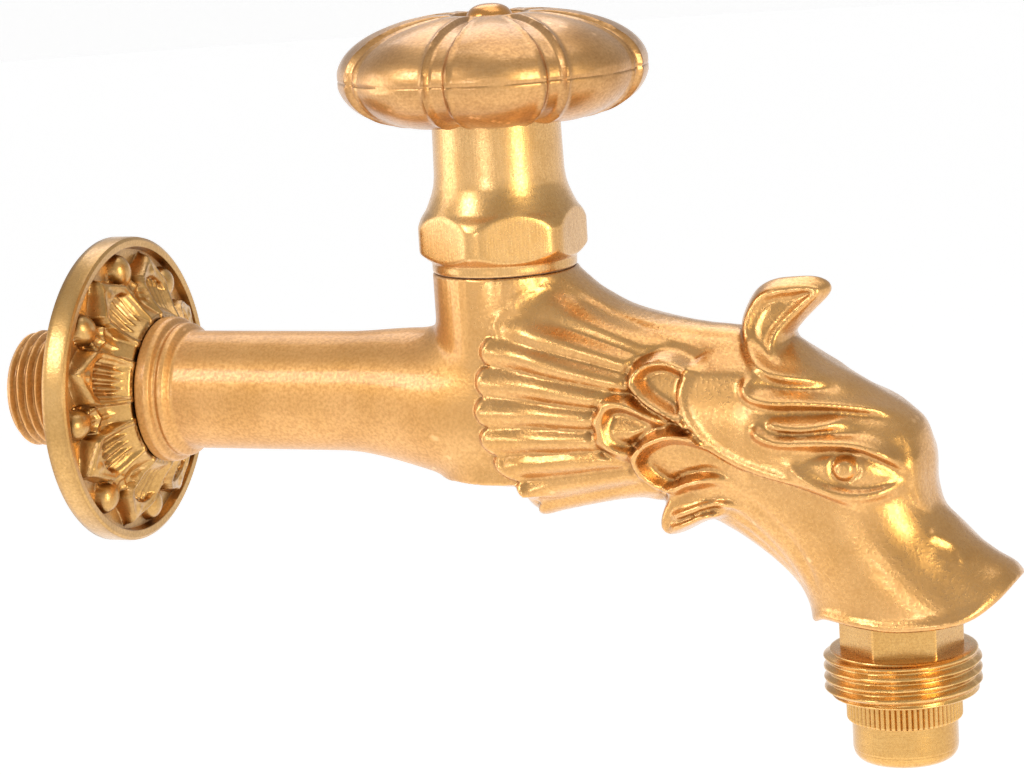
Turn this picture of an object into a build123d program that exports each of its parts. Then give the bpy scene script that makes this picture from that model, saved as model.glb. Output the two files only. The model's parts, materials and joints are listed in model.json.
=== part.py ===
from build123d import *
import math
import os

# Decorative garden tap, millimetres. X runs out of the wall along the inlet shank, Z is up.
# The origin is on the shank's axis, in the plane of the wall behind the rosette.

# Clearances
thread_play = 0.1
running_play = 0.05
slip_play = 0.3

# Inlet shank
inlet_thread_radius = 10.48
inlet_thread_length = 15.9
inlet_chamfer = 1.2
relief_length = 1.5
relief_depth = 1.3
shank_radius = 10.5
inlet_bore_radius = 6.0
collar_height = 2.5
collar_length = 5.6
# Collar profile: shares of its length and of its height
collar_profile = ((0.0, 1.0), (0.44, 1.0), (0.55, 0.55), (0.835, 0.5), (1.0, 0.0))

# Wall rosette
rosette_radius = 27.4
rosette_rim = 3.95
rosette_rim_band = 2.2
rosette_edge = 0.66
rosette_field_depth = 1.1
rosette_hub_height = 10.3
rosette_hub_radius = 14.2
rosette_hub_shoulder = 7.7
leaf_count = 8
leaf_half_width = 4.1
leaf_tip_radius = 24.6
leaf_height = 2.4
leaf_tip_height = 1.45
leaf_bend_radius = 21.2
leaf_root_half_width = 2.9
vein_width = 0.9
egg_radius = 2.5
egg_ring_radius = 21.6

# Valve chamber and seat
valve_x = 77.0
chamber_radius = 12.4
chamber_bore_radius = 9.6
body_top = 21.8
chamber_floor = 8.0
seat_height = 1.0
seat_hole_radius = 5.5
seat_land = 1.4
saddle_fillet = 5.0
belly_radius = 13.8
belly_drop = 2.5
belly_start = 45.0
# Belly profile: shares of its length and of its swelling
belly_profile = ((0.0, 0.0), (0.38, 0.3), (0.66, 0.8), (1.0, 1.0))

# Bonnet
gasket_thickness = 0.8
gasket_inset = 0.3
bonnet_spigot_length = 6.2
bonnet_hex = 25.0
bonnet_base_height = 1.2
bonnet_hex_chamfer = 1.2
bonnet_hex_height = 4.8
bonnet_neck_radius = 11.1
bonnet_flare_height = 9.0
bonnet_height = 25.6
gland_bore_radius = 6.5
gland_depth = 9.2
gland_washer_thickness = 1.0
packing_height = 3.2
gland_nut_hex = 14.0
gland_nut_head = 2.0

# Spindle, lift and jumper
spindle_thread_radius = 6.0
spindle_thread_length = 17.0
stem_radius = 4.0
valve_lift = 5.0
drive_square = 5.6
drive_square_length = 10.0
washer_radius = 7.0
washer_thickness = 3.0
jumper_plate_radius = 7.4
jumper_plate_thickness = 1.6
jumper_stem_radius = 2.5
jumper_stem_length = 9.0
jumper_stud_radius = 1.5
clip_height = 0.9
clip_share = 0.6
clip_depth = 0.5
clip_gap = 1.4
washer_plate_radius = 4.6
washer_plate_thickness = 0.8
washer_nut_hex = 6.0
washer_nut_height = 2.2

# Handwheel
wheel_radius = 26.4
wheel_lift = 7.2
wheel_rise = 9.9
wheel_fall = 8.0
wheel_crown_radius = 9.6
wheel_foot_wall = 1.4
# Points of the wheel's skin between crown, rim and foot: shares of its radius and of its height
wheel_shoulder = (0.88, 0.5)
wheel_under = (0.86, 0.68)
wheel_hollow_radius = 12.6
wheel_web_drop = 4.0
wheel_recess_radius = 6.2
wheel_web_rise = 7.2
lobe_count = 8
groove_width = 2.9
groove_depth = 0.8
screw_shank_radius = 2.0
screw_shank_length = 9.0
screw_head_radius = 3.6
screw_head_height = 3.7
screw_washer_radius = 5.2
screw_washer_thickness = 0.9

# Spout: the beast's outline is drawn at this reach and drop
spout_reach = 67.0
mouth_drop = 36.0
drawn_reach = 67.0
drawn_drop = 36.0
outlet_bore_radius = 4.5
outlet_port_height = 14.0
outlet_port_offset = 7.0
throat_radius = 5.5
beast_half_width = 13.0
crown_taper = 0.12
oval_spans = 8
section_steps = 2
flute_count = 22
flute_rise = 0.9
least_flute = 0.4
fin_inner = 5.0
fin_outer = 11.6

# Hose union and nozzle
union_gasket_thickness = 1.0
union_spigot_radius = 8.0
union_spigot_length = 7.5
union_hex = 18.0
union_hex_height = 7.9
union_hex_turn = -12.4
hose_thread_radius = 13.22
hose_thread_length = 7.9
hose_thread_chamfer = 0.8
mouth_recess_depth = 2.6
nozzle_spigot_radius = 7.5
nozzle_spigot_length = 6.8
knurl_radius = 9.7
knurl_length = 4.3
nozzle_radius = 8.85
nozzle_length = 7.0
nozzle_lip = 2.0
nozzle_bore_radius = 6.0
screen_radius = 6.7
screen_thickness = 1.2
screen_hole_radius = 0.9
screen_hole_ring = 3.9
screen_hole_count = 8
nozzle_seal_thickness = 1.5

# Levels that follow from the sizes above
inlet_end = -relief_length - inlet_thread_length
bonnet_base = body_top + gasket_thickness
bonnet_bottom = bonnet_base - bonnet_spigot_length
bonnet_top = bonnet_base + bonnet_height
gland_floor = bonnet_top - gland_depth
seat_top = chamber_floor + seat_height
washer_bottom = seat_top + running_play
jumper_bottom = washer_bottom + washer_thickness
spindle_bottom = jumper_bottom + jumper_plate_thickness
spindle_shoulder = spindle_bottom + spindle_thread_length
wheel_equator = bonnet_top + wheel_lift
wheel_hollow_roof = wheel_equator - wheel_web_drop
wheel_recess_floor = wheel_equator + wheel_web_rise
hose_x = valve_x + spout_reach
lip_level = -mouth_drop
union_seat = lip_level + mouth_recess_depth
hex_top = union_seat - union_gasket_thickness
thread_top = hex_top - union_hex_height
knurl_top = thread_top - hose_thread_length
knurl_bottom = knurl_top - knurl_length
nozzle_bottom = knurl_bottom - nozzle_length
hex_corner = 1 / math.cos(math.pi / 6)


def upright(radius, low, high, x=0.0):
    """Cylinder with a vertical axis at the given X, between two heights."""
    return Pos(x, 0, (low + high) / 2) * Cylinder(radius, high - low)


def upright_ring(outer, inner, low, high, x=0.0):
    """Ring with a vertical axis."""
    return upright(outer, low, high, x) - upright(inner, low - 1, high + 1, x)


def hexagon(across_flats, low, high, x=0.0, turn=0.0):
    """Upright hexagonal bar; at turn 0 two corners point along Y."""
    flat = Rot(0, 0, turn + 30) * RegularPolygon(across_flats / 2 * hex_corner, 6)
    return Pos(x, 0, low) * extrude(flat, high - low)


def turned(points, x=0.0):
    """Solid turned about a vertical axis from (radius, height) points."""
    outline = Polyline(*[(radius, 0, height) for radius, height in points], close=True)
    return Pos(x, 0, 0) * revolve(make_face(outline), Axis.Z)


def turned_on_shank(points):
    """Solid turned about the shank's axis from (X, radius) points."""
    outline = Polyline(*[(x, 0, radius) for x, radius in points], close=True)
    return revolve(make_face(outline), Axis.X)


def beast_point(x, z):
    """Point of the beast's drawn outline, X from the valve axis, fitted to the reach and drop."""
    drop_share = mouth_drop / drawn_drop if z < 0 else 1.0
    return valve_x + x * spout_reach / drawn_reach, z * drop_share


def section_plane(top_point, low_point):
    """Plane of a cross-section that spans two points of the side outline, and its half height."""
    top_x, top_z = beast_point(*top_point)
    low_x, low_z = beast_point(*low_point)
    half = math.hypot(top_x - low_x, top_z - low_z) / 2
    along = Vector(top_x - low_x, 0, top_z - low_z) / (2 * half)
    normal = Vector(along.Z, 0, -along.X)
    centre = ((top_x + low_x) / 2, 0, (top_z + low_z) / 2)
    return Plane(centre, x_dir=along, z_dir=normal), half


# Cross-sections of neck and head: top point X and Z, lowest point X and Z, half width share
head_sections = (
    (29.0, 12.6, 26.0, -17.0, 0.97),
    (42.3, 11.4, 37.6, -21.2, 1.0),
    (53.5, 7.8, 44.0, -25.6, 1.0),
    (65.7, 0.7, 48.5, -29.7, 1.03),
    (73.4, -8.0, 51.2, -33.5, 1.06),
    (74.6, -17.5, 52.0, -37.0, 1.05),
    (80.6, -24.0, 54.0, -40.5, 1.03),
    (88.4, -30.4, 56.0, -45.0, 1.0),
)
# Cross-sections of the curled crest: outer point, inner point, half width share
crest_sections = (
    (42.8, 5.0, 54.0, 3.0, 0.42),
    (42.7, 13.0, 50.9, 10.4, 0.4),
    (44.0, 17.1, 52.2, 12.5, 0.38),
    (48.0, 19.6, 54.2, 14.3, 0.34),
    (53.0, 20.1, 55.9, 15.8, 0.26),
    (56.5, 19.4, 57.3, 17.4, 0.1),
)


def smoothed(sections):
    """Sections with others set between them on a smooth curve through their neighbours."""
    last = len(sections) - 1
    finer = [sections[0]]
    for index in range(last):
        four = [sections[max(index - 1, 0)], sections[index], sections[index + 1],
                sections[min(index + 2, last)]]
        for step in range(1, section_steps + 1):
            share = step / section_steps
            finer.append(tuple(curve_through(*values, share) for values in zip(*four)))
    return finer


def curve_through(before, start, end, after, share):
    """Value between start and end with slopes taken from the values beside them."""
    slope_start = (end - before) / 2
    slope_end = (after - start) / 2
    bend = 3 * (end - start) - 2 * slope_start - slope_end
    twist = 2 * (start - end) + slope_start + slope_end
    return start + share * (slope_start + share * (bend + share * twist))


def oval_wire(top_x, top_z, low_x, low_z, width):
    """Egg-shaped cross-section, narrower towards the crown, in two halves from its lowest point."""
    plane, half = section_plane((top_x, top_z), (low_x, low_z))
    across = beast_half_width * width

    def oval_point(span):
        angle = math.pi + math.pi * span / oval_spans
        flank = across * math.sin(angle) * (1 - crown_taper * math.cos(angle))
        return plane.from_local_coords((half * math.cos(angle), flank, 0))

    rising = [oval_point(span) for span in range(oval_spans + 1)]
    falling = [oval_point(span) for span in range(oval_spans, 2 * oval_spans + 1)]
    return Wire([Spline(*rising), Spline(*falling)])


def oval_loft(sections):
    """Solid through smoothed oval cross-sections."""
    return Solid.make_loft([oval_wire(*section) for section in smoothed(sections)], ruled=True)


# Cross-sections of the shell fan: top, bottom, half width share, flute share, bow towards the wall
fan_sections = (
    ((2.0, 15.0), (7.0, -16.0), 0.86, 0.0, 0.0),
    ((3.6, 19.0), (8.6, -19.0), 1.04, 1.0, 4.0),
    ((15.3, 19.2), (15.6, -17.8), 1.04, 0.9, 2.0),
    ((24.0, 14.8), (21.0, -17.0), 1.02, 0.7, 0.0),
    ((35.0, 11.6), (30.0, -18.4), 0.99, 0.2, 0.0),
)


def fluted_wire(top, bottom, width, flute, bow):
    """Scalloped oval outline: one arc for each flute, its flanks bowed towards the wall."""
    plane, half = section_plane(top, bottom)
    across = beast_half_width * width

    def rim_point(angle, rise):
        shift = -bow * math.sin(angle) ** 2
        flank = (across + rise) * math.sin(angle)
        return plane.from_local_coords(((half + rise) * math.cos(angle), flank, shift))

    step = 2 * math.pi / flute_count
    arcs = []
    for flute_index in range(flute_count):
        start = flute_index * step
        crest = rim_point(start + step / 2, flute_rise * (least_flute + flute))
        arcs.append(ThreePointArc(rim_point(start, 0), crest, rim_point(start + step, 0)))
    return Wire(arcs)


def shell_fan():
    """Fan of flutes behind the leaves, its scalloped edge lying on the belly."""
    return Solid.make_loft([fluted_wire(*section) for section in fan_sections], ruled=True)


def on_both_flanks(near):
    """A flank feature and its mirror image."""
    return [near, mirror(near, Plane.XZ)]


# Swellings on a flank: X from the valve axis, Z, depth in Y, radii along X, Y and Z, turn in degrees
leaf_swellings = (
    (32.5, 4.0, 12.0, (6.4, 3.2, 5.0), -10),
    (25.6, -3.2, 13.2, (5.6, 2.6, 4.4), -20),
    (31.6, -9.2, 12.6, (6.6, 3.0, 4.6), 0),
)
cheek_swelling = (46.5, -0.6, 10.6, (9.8, 3.2, 8.4), -20)
eye_socket = (62.8, -10.4, 14.4, (8.0, 2.6, 2.5), -3)
eye_ball = (62.0, -9.8, 12.0, (2.3, 2.0, 2.2), 0)

# Brow ridges on a flank: X from the valve axis, Z, depth in Y, radius
brow_ridges = (
    ((46.5, 6.2, 8.2, 0.5), (50.0, 5.2, 9.0, 1.5), (57.0, 3.0, 9.6, 1.5), (65.0, 0.4, 9.4, 1.3),
     (72.5, -4.4, 7.0, 0.4)),
    ((47.5, -1.8, 12.0, 0.4), (52.0, -2.8, 12.0, 1.3), (59.0, -4.0, 12.3, 1.4),
     (66.0, -6.0, 11.6, 1.2), (71.2, -11.0, 10.4, 0.4)),
)

# Side outlines, X from the valve axis and Z
fin_outline = ((29.6, -19.2), (30.8, -16.0), (35.2, -12.6), (44.0, -13.4), (40.0, -18.6),
               (35.0, -20.2), (31.4, -21.4))
lip_outline = ((46.0, -36.4), (56.0, -36.6), (70.0, -37.0), (80.0, -35.3), (84.5, -32.8),
               (87.9, -29.6), (94.0, -22.0))


def swelling(x, z, depth, radii, turn):
    """Ellipsoid on the near flank."""
    centre_x, centre_z = beast_point(x, z)
    return Pos(centre_x, -depth, centre_z) * Rot(0, -turn, 0) * scale(Sphere(1), by=radii)


def ridge(stations):
    """Tapered round ridge on the near flank."""
    centres = []
    for x, z, depth, radius in stations:
        centre_x, centre_z = beast_point(x, z)
        centres.append(Vector(centre_x, -depth, centre_z))
    last = len(centres) - 1
    rings = []
    for index, centre in enumerate(centres):
        course = (centres[min(index + 1, last)] - centres[max(index - 1, 0)]).normalized()
        rings.append(Wire([Edge.make_circle(stations[index][3], Plane(centre, z_dir=course))]))
    return Solid.make_loft(rings)


def lower_fin():
    """Leaf tip that stands out below the neck, on the near flank."""
    points = [beast_point(x, z) for x, z in fin_outline]
    face = make_face(Spline(*[(x, -fin_inner, z) for x, z in points], periodic=True))
    return extrude(face, fin_outer - fin_inner, dir=(0, -1, 0))


def below_lip():
    """Everything under the curved edge of the mouth."""
    edge_points = [(*beast_point(x, z),) for x, z in lip_outline]
    lip = Spline(*[(x, 0, z) for x, z in edge_points])
    depth = nozzle_bottom
    walls = Polyline((edge_points[-1][0], 0, edge_points[-1][1]), (edge_points[-1][0], 0, depth),
                     (edge_points[0][0], 0, depth), (edge_points[0][0], 0, edge_points[0][1]))
    return extrude(make_face([lip, walls]), 2 * beast_half_width, both=True)


def shank_and_chamber():
    """Threaded shank with its collar, the valve chamber and the belly under it."""
    collar_back = rosette_hub_height
    collar_front = collar_back + collar_length
    shank = turned_on_shank((
        (inlet_end, 0),
        (inlet_end, inlet_thread_radius - inlet_chamfer),
        (inlet_end + inlet_chamfer, inlet_thread_radius),
        (-relief_length, inlet_thread_radius),
        (-relief_length, inlet_thread_radius - relief_depth),
        (0, inlet_thread_radius - relief_depth),
        (0, shank_radius),
        (valve_x, shank_radius),
        (valve_x, 0),
    ))
    chamber = upright(chamber_radius, -belly_radius, body_top, valve_x)
    joined = shank + chamber
    saddle = [edge for edge in joined.edges()
              if edge.length > 4 * shank_radius
              and valve_x - chamber_radius < edge.center(CenterOf.BOUNDING_BOX).X < valve_x - 1
              and edge.geom_type not in (GeomType.CIRCLE, GeomType.LINE)]
    joined = fillet(saddle, saddle_fillet)
    collar_skin = [(collar_back + along * collar_length, shank_radius + rise * collar_height)
                   for along, rise in collar_profile]
    collar = turned_on_shank(((collar_back, 0), *collar_skin, (collar_front, 0)))
    belly_circles = []
    for share, swell in belly_profile:
        x = belly_start + share * (valve_x - belly_start)
        radius = shank_radius + swell * (belly_radius - shank_radius)
        belly_circles.append(Plane((x, 0, -belly_drop * swell), x_dir=(0, 0, 1), z_dir=(1, 0, 0))
                             * Circle(radius))
    belly_end = Pos(valve_x, 0, -belly_drop) * Sphere(belly_radius)
    return joined + collar + loft(belly_circles) + belly_end


def waterway():
    """Passages for the water: inlet, seat, chamber, sloping outlet and the mouth's socket."""
    inlet_length = valve_x - inlet_end
    inlet = Pos(inlet_end + inlet_length / 2, 0, 0) * Rot(0, 90, 0) * Cylinder(
        inlet_bore_radius, inlet_length)
    seat = upright(seat_hole_radius, -inlet_bore_radius, seat_top, valve_x)
    chamber = upright(chamber_bore_radius, seat_top, body_top + 1, valve_x)
    trough = upright_ring(chamber_bore_radius, seat_hole_radius + seat_land, chamber_floor,
                          seat_top, valve_x)
    port = Vector(valve_x + outlet_port_offset, 0, outlet_port_height)
    meeting = Vector(hose_x, 0, union_seat + union_spigot_length + 2 * throat_radius)
    slope = (meeting - port).normalized()
    start = port - slope * throat_radius
    run = Solid.make_cylinder(outlet_bore_radius, (meeting - start).length, Plane(start, z_dir=slope))
    bend = Pos(*meeting) * Sphere(throat_radius)
    drop = upright(throat_radius, union_seat, meeting.Z, hose_x)
    socket_top = hex_top + union_spigot_length + slip_play
    socket = upright(union_spigot_radius + thread_play, union_seat, socket_top, hose_x)
    recess = upright(union_hex / 2 * hex_corner + slip_play, nozzle_bottom, union_seat, hose_x)
    return [inlet, seat, chamber, trough, run, bend, drop, socket, recess]


def beast_head():
    """Neck and head with crest, cheeks, brows and eyes, cut off at the lips."""
    head = oval_loft(head_sections) + oval_loft(crest_sections)
    head -= below_lip()
    for form in [*[ridge(stations) for stations in brow_ridges], swelling(*cheek_swelling)]:
        for flank_form in on_both_flanks(form):
            head += flank_form
    for socket in on_both_flanks(swelling(*eye_socket)):
        head -= socket
    for ball in on_both_flanks(swelling(*eye_ball)):
        head += ball
    return head


def tap_body():
    """The casting: shank, chamber, fan, leaves, crest and head in one piece."""
    body = shank_and_chamber() + shell_fan() + beast_head()
    for leaf in [swelling(*values) for values in leaf_swellings] + [lower_fin()]:
        for flank_leaf in on_both_flanks(leaf):
            body += flank_leaf
    body -= upright(2 * chamber_radius, body_top, body_top + chamber_radius, valve_x)
    for passage in waterway():
        body -= passage
    return body


def wall_rosette():
    """Cover plate with acanthus leaves and egg buds standing on a domed field."""
    hole = shank_radius + slip_play
    rim_inner = rosette_radius - rosette_rim_band
    field = rosette_rim - rosette_field_depth
    plate = turned_on_shank((
        (0, hole),
        (0, rosette_radius),
        (rosette_rim - rosette_edge, rosette_radius),
        (rosette_rim, rosette_radius - rosette_edge),
        (rosette_rim, rim_inner),
        (field, rim_inner - rosette_field_depth),
        (field, (rim_inner + rosette_hub_radius) / 2),
        (rosette_hub_shoulder, rosette_hub_radius),
        (rosette_hub_height, rosette_hub_radius - rosette_edge),
        (rosette_hub_height, hole),
    ))
    leaf_cap = turned_on_shank((
        (0, hole),
        (0, leaf_tip_radius + 1),
        (field + leaf_tip_height, leaf_tip_radius + 1),
        (field + leaf_height, leaf_bend_radius),
        (rosette_hub_height, rosette_hub_radius - rosette_edge),
        (rosette_hub_height, hole),
    ))
    root = rosette_hub_radius - 2 * rosette_edge
    belly = (root + leaf_tip_radius) / 2
    right = ThreePointArc((leaf_root_half_width, root), (leaf_half_width, belly), (0, leaf_tip_radius))
    left = ThreePointArc((0, leaf_tip_radius), (-leaf_half_width, belly), (-leaf_root_half_width, root))
    blade_face = make_face([right, left, Line(left @ 1, right @ 0)])
    blade = extrude(Plane.YZ * blade_face, rosette_hub_height) & leaf_cap
    vein = Pos(field + leaf_height, 0, belly) * Rot(45, 0, 0) * Box(
        2 * leaf_height, vein_width, vein_width)
    vein_run = Pos(field + leaf_height + vein_width, 0, belly) * Box(
        vein_width * 3, vein_width, leaf_tip_radius - root)
    blade = blade - vein_run - vein
    egg = Pos(field, 0, egg_ring_radius) * Sphere(egg_radius)
    stalk = Pos(field, 0, (egg_ring_radius + root) / 2) * Box(
        2 * egg_radius, egg_radius, egg_ring_radius - root)
    pitch = 360 / leaf_count
    for leaf_index in range(leaf_count):
        plate += Rot(leaf_index * pitch, 0, 0) * blade
        plate += Rot((leaf_index + 0.5) * pitch, 0, 0) * (egg + stalk)
    back = Pos(-rosette_rim, 0, 0) * Box(
        2 * rosette_rim, 4 * rosette_radius, 4 * rosette_radius)
    bore = Rot(0, 90, 0) * Cylinder(hole, 4 * rosette_hub_height)
    front = Pos(2 * rosette_hub_height, 0, 0) * Box(
        2 * rosette_hub_height, 4 * rosette_radius, 4 * rosette_radius)
    return plate - back - bore - front


def bonnet():
    """Turned headpiece: spigot, hexagon, flared neck, spindle thread and gland pocket."""
    corner = bonnet_hex / 2 * hex_corner
    base_top = bonnet_base + bonnet_base_height
    hex_low = base_top + bonnet_hex_chamfer
    hex_high = hex_low + bonnet_hex_height
    flare_top = hex_high + bonnet_flare_height
    spigot = chamber_bore_radius - thread_play
    foot = Polyline(
        (0, 0, bonnet_bottom),
        (spigot, 0, bonnet_bottom),
        (spigot, 0, bonnet_base),
        (chamber_radius, 0, bonnet_base),
        (chamber_radius, 0, base_top),
        (corner, 0, hex_low),
        (corner, 0, hex_high),
    )
    flare = TangentArc((bonnet_neck_radius, 0, flare_top), (corner, 0, hex_high), tangent=(0, 0, -1))
    head = Polyline(
        (bonnet_neck_radius, 0, flare_top),
        (bonnet_neck_radius, 0, bonnet_top),
        (0, 0, bonnet_top),
        (0, 0, bonnet_bottom),
    )
    blank = Pos(valve_x, 0, 0) * revolve(make_face([foot, flare, head]), Axis.Z)
    shaped = blank & hexagon(bonnet_hex, bonnet_bottom, bonnet_top, valve_x)
    skirt_top = spindle_bottom + valve_lift + slip_play
    shaped -= upright(jumper_plate_radius + slip_play, bonnet_bottom - 1, skirt_top, valve_x)
    thread_top_level = spindle_shoulder + valve_lift + slip_play
    shaped -= upright(spindle_thread_radius, bonnet_bottom - 1, thread_top_level, valve_x)
    shaped -= upright(stem_radius + running_play, thread_top_level, bonnet_top, valve_x)
    return shaped - upright(gland_bore_radius, gland_floor, bonnet_top + 1, valve_x)


def gland_pieces():
    """Washer, packing and nut stacked in the bonnet's gland."""
    stem_hole = stem_radius + running_play
    snug = gland_bore_radius - thread_play
    washer_top = gland_floor + gland_washer_thickness
    packing_top = washer_top + packing_height
    nut = upright(snug, packing_top, bonnet_top, valve_x)
    nut += hexagon(gland_nut_hex, bonnet_top, bonnet_top + gland_nut_head, valve_x)
    nut -= upright(stem_hole, packing_top - 1, bonnet_top + gland_nut_head + 1, valve_x)
    return {
        "gland_washer": upright_ring(snug, stem_hole, gland_floor, washer_top, valve_x),
        "gland_packing": upright_ring(snug, stem_hole, washer_top, packing_top, valve_x),
        "gland_nut": nut,
    }


def clip_level():
    """Height of the underside of the ring that holds the jumper."""
    return spindle_bottom + jumper_stem_length * clip_share


def spindle():
    """Rising spindle: thread, stem, square for the handwheel, jumper socket and screw hole."""
    thread = upright(spindle_thread_radius - running_play, spindle_bottom, spindle_shoulder, valve_x)
    stem = upright(stem_radius, spindle_shoulder, wheel_hollow_roof, valve_x)
    square = Pos(valve_x, 0, wheel_hollow_roof + drive_square_length / 2) * Box(
        drive_square, drive_square, drive_square_length)
    body = thread + stem + square
    body -= upright(jumper_stem_radius + running_play, spindle_bottom - 1,
                    spindle_bottom + jumper_stem_length + slip_play, valve_x)
    groove_low = clip_level() - running_play
    body -= upright(jumper_stem_radius + clip_depth + thread_play, groove_low,
                    groove_low + clip_height + 2 * running_play, valve_x)
    screw_low = screw_seat() - screw_shank_length - slip_play
    return body - upright(screw_shank_radius + running_play, screw_low, wheel_recess_floor, valve_x)


def screw_seat():
    """Height where the screw's head rests on its washer."""
    return wheel_recess_floor + screw_washer_thickness


def jumper_pieces():
    """Jumper with its stud, the rubber washer, the plate under it and the nut."""
    nut_top = washer_bottom - washer_plate_thickness
    nut_low = nut_top - washer_nut_height
    stem_top = spindle_bottom + jumper_stem_length
    jumper = upright(jumper_plate_radius, jumper_bottom, spindle_bottom, valve_x)
    jumper += upright(jumper_stem_radius, spindle_bottom, stem_top, valve_x)
    jumper += upright(jumper_stud_radius, nut_low, jumper_bottom, valve_x)
    groove_low = clip_level() - running_play
    jumper -= upright_ring(2 * jumper_stem_radius, jumper_stem_radius - clip_depth, groove_low,
                           groove_low + clip_height + 2 * running_play, valve_x)
    stud_hole = jumper_stud_radius + running_play
    nut = hexagon(washer_nut_hex, nut_low, nut_top, valve_x)
    nut -= upright(stud_hole, nut_low - 1, nut_top + 1, valve_x)
    return {
        "jumper": jumper,
        "tap_washer": upright_ring(washer_radius, stud_hole, washer_bottom, jumper_bottom, valve_x),
        "washer_plate": upright_ring(washer_plate_radius, stud_hole, nut_top, washer_bottom, valve_x),
        "washer_nut": nut,
    }


def jumper_clip():
    """Open spring ring between the spindle's groove and the jumper's."""
    low = clip_level()
    ring = upright_ring(jumper_stem_radius + clip_depth, jumper_stem_radius - clip_depth + thread_play,
                        low, low + clip_height, valve_x)
    slot = Pos(valve_x + jumper_stem_radius, 0, low + clip_height / 2) * Box(
        2 * jumper_stem_radius, clip_gap, 2 * clip_height)
    return ring - slot


def wheel_skin(inset):
    """Solid of the handwheel's outer skin, set in by the given amount."""
    top = wheel_equator + wheel_rise - inset
    low = wheel_equator - wheel_fall + inset
    outer = wheel_radius - inset
    bottom_radius = wheel_hollow_radius + wheel_foot_wall
    crown = (wheel_crown_radius, 0, top)
    shoulder = (outer * wheel_shoulder[0], 0, wheel_equator + (wheel_rise - inset) * wheel_shoulder[1])
    rim = (outer, 0, wheel_equator)
    under = (outer * wheel_under[0], 0, wheel_equator - (wheel_fall - inset) * wheel_under[1])
    foot = (bottom_radius, 0, low)
    upper = Spline(crown, shoulder, rim, tangents=((1, 0, -0.04), (0, 0, -1)))
    lower = Spline(rim, under, foot, tangents=((0, 0, -1), (-1, 0, -0.02)))
    closing = Polyline(foot, (0, 0, low), (0, 0, top), crown)
    return Pos(valve_x, 0, 0) * revolve(make_face([upper, lower, closing]), Axis.Z)


def handwheel():
    """Lobed knob, hollow underneath, with a square hole and a recess for the screw."""
    wheel = wheel_skin(0)
    rind = wheel - wheel_skin(groove_depth)
    reach = wheel_radius - wheel_crown_radius
    slab = Pos(wheel_crown_radius + reach / 2 + groove_width, 0, wheel_equator) * Box(
        reach + groove_width, groove_width, 4 * wheel_rise)
    for lobe_index in range(lobe_count):
        turned_slab = Pos(valve_x, 0, 0) * Rot(0, 0, lobe_index * 360 / lobe_count) * slab
        wheel -= rind & turned_slab
    low = wheel_equator - wheel_fall - 1
    wheel -= upright(wheel_hollow_radius, low, wheel_hollow_roof, valve_x)
    wheel -= upright(wheel_recess_radius, wheel_recess_floor, wheel_equator + 2 * wheel_rise, valve_x)
    square = drive_square + 2 * thread_play
    return wheel - Pos(valve_x, 0, wheel_equator) * Box(square, square, 4 * wheel_rise)


def handwheel_screw():
    """Domed screw into the spindle's end."""
    seat = screw_seat()
    shank = upright(screw_shank_radius, seat - screw_shank_length, seat, valve_x)
    dome_radius = (screw_head_radius ** 2 + screw_head_height ** 2) / (2 * screw_head_height)
    dome = Pos(valve_x, 0, seat + screw_head_height - dome_radius) * Sphere(dome_radius)
    head = dome & upright(screw_head_radius, seat, seat + screw_head_height + 1, valve_x)
    return shank + head


def screw_washer():
    """Ring under the screw's head."""
    return upright_ring(screw_washer_radius, screw_shank_radius + thread_play, wheel_recess_floor,
                        screw_seat(), valve_x)


def hose_union():
    """Nipple with a hexagon, the hose thread and a socket for the nozzle."""
    body = upright(union_spigot_radius, hex_top, hex_top + union_spigot_length, hose_x)
    body += hexagon(union_hex, thread_top, hex_top, hose_x, union_hex_turn)
    small = hose_thread_radius - hose_thread_chamfer
    body += turned((
        (0, knurl_top),
        (small, knurl_top),
        (hose_thread_radius, knurl_top + hose_thread_chamfer),
        (hose_thread_radius, thread_top - hose_thread_chamfer),
        (small, thread_top),
        (0, thread_top),
    ), hose_x)
    body -= upright(throat_radius, knurl_top - 1, hex_top + union_spigot_length + 1, hose_x)
    socket_top = knurl_top + nozzle_spigot_length + nozzle_seal_thickness
    return body - upright(nozzle_spigot_radius + thread_play, knurl_top - 1, socket_top, hose_x)


def outlet_nozzle():
    """Turned nozzle with a knurled band and a seat for the stream screen."""
    spigot_top = knurl_top + nozzle_spigot_length
    outer = Polyline(
        (nozzle_radius, 0, nozzle_bottom + nozzle_lip),
        (nozzle_radius, 0, knurl_bottom),
        (knurl_radius, 0, knurl_bottom),
        (knurl_radius, 0, knurl_top),
        (nozzle_spigot_radius, 0, knurl_top),
        (nozzle_spigot_radius, 0, spigot_top),
        (nozzle_bore_radius, 0, spigot_top),
        (nozzle_bore_radius, 0, nozzle_bottom),
        (nozzle_radius - nozzle_lip, 0, nozzle_bottom),
    )
    bulge = nozzle_lip * math.sqrt(0.5)
    lip = ThreePointArc(
        (nozzle_radius - nozzle_lip, 0, nozzle_bottom),
        (nozzle_radius - nozzle_lip + bulge, 0, nozzle_bottom + nozzle_lip - bulge),
        (nozzle_radius, 0, nozzle_bottom + nozzle_lip),
    )
    body = Pos(hose_x, 0, 0) * revolve(make_face([outer, lip]), Axis.Z)
    return body - upright(screen_radius + thread_play, knurl_top, spigot_top + 1, hose_x)


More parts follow.
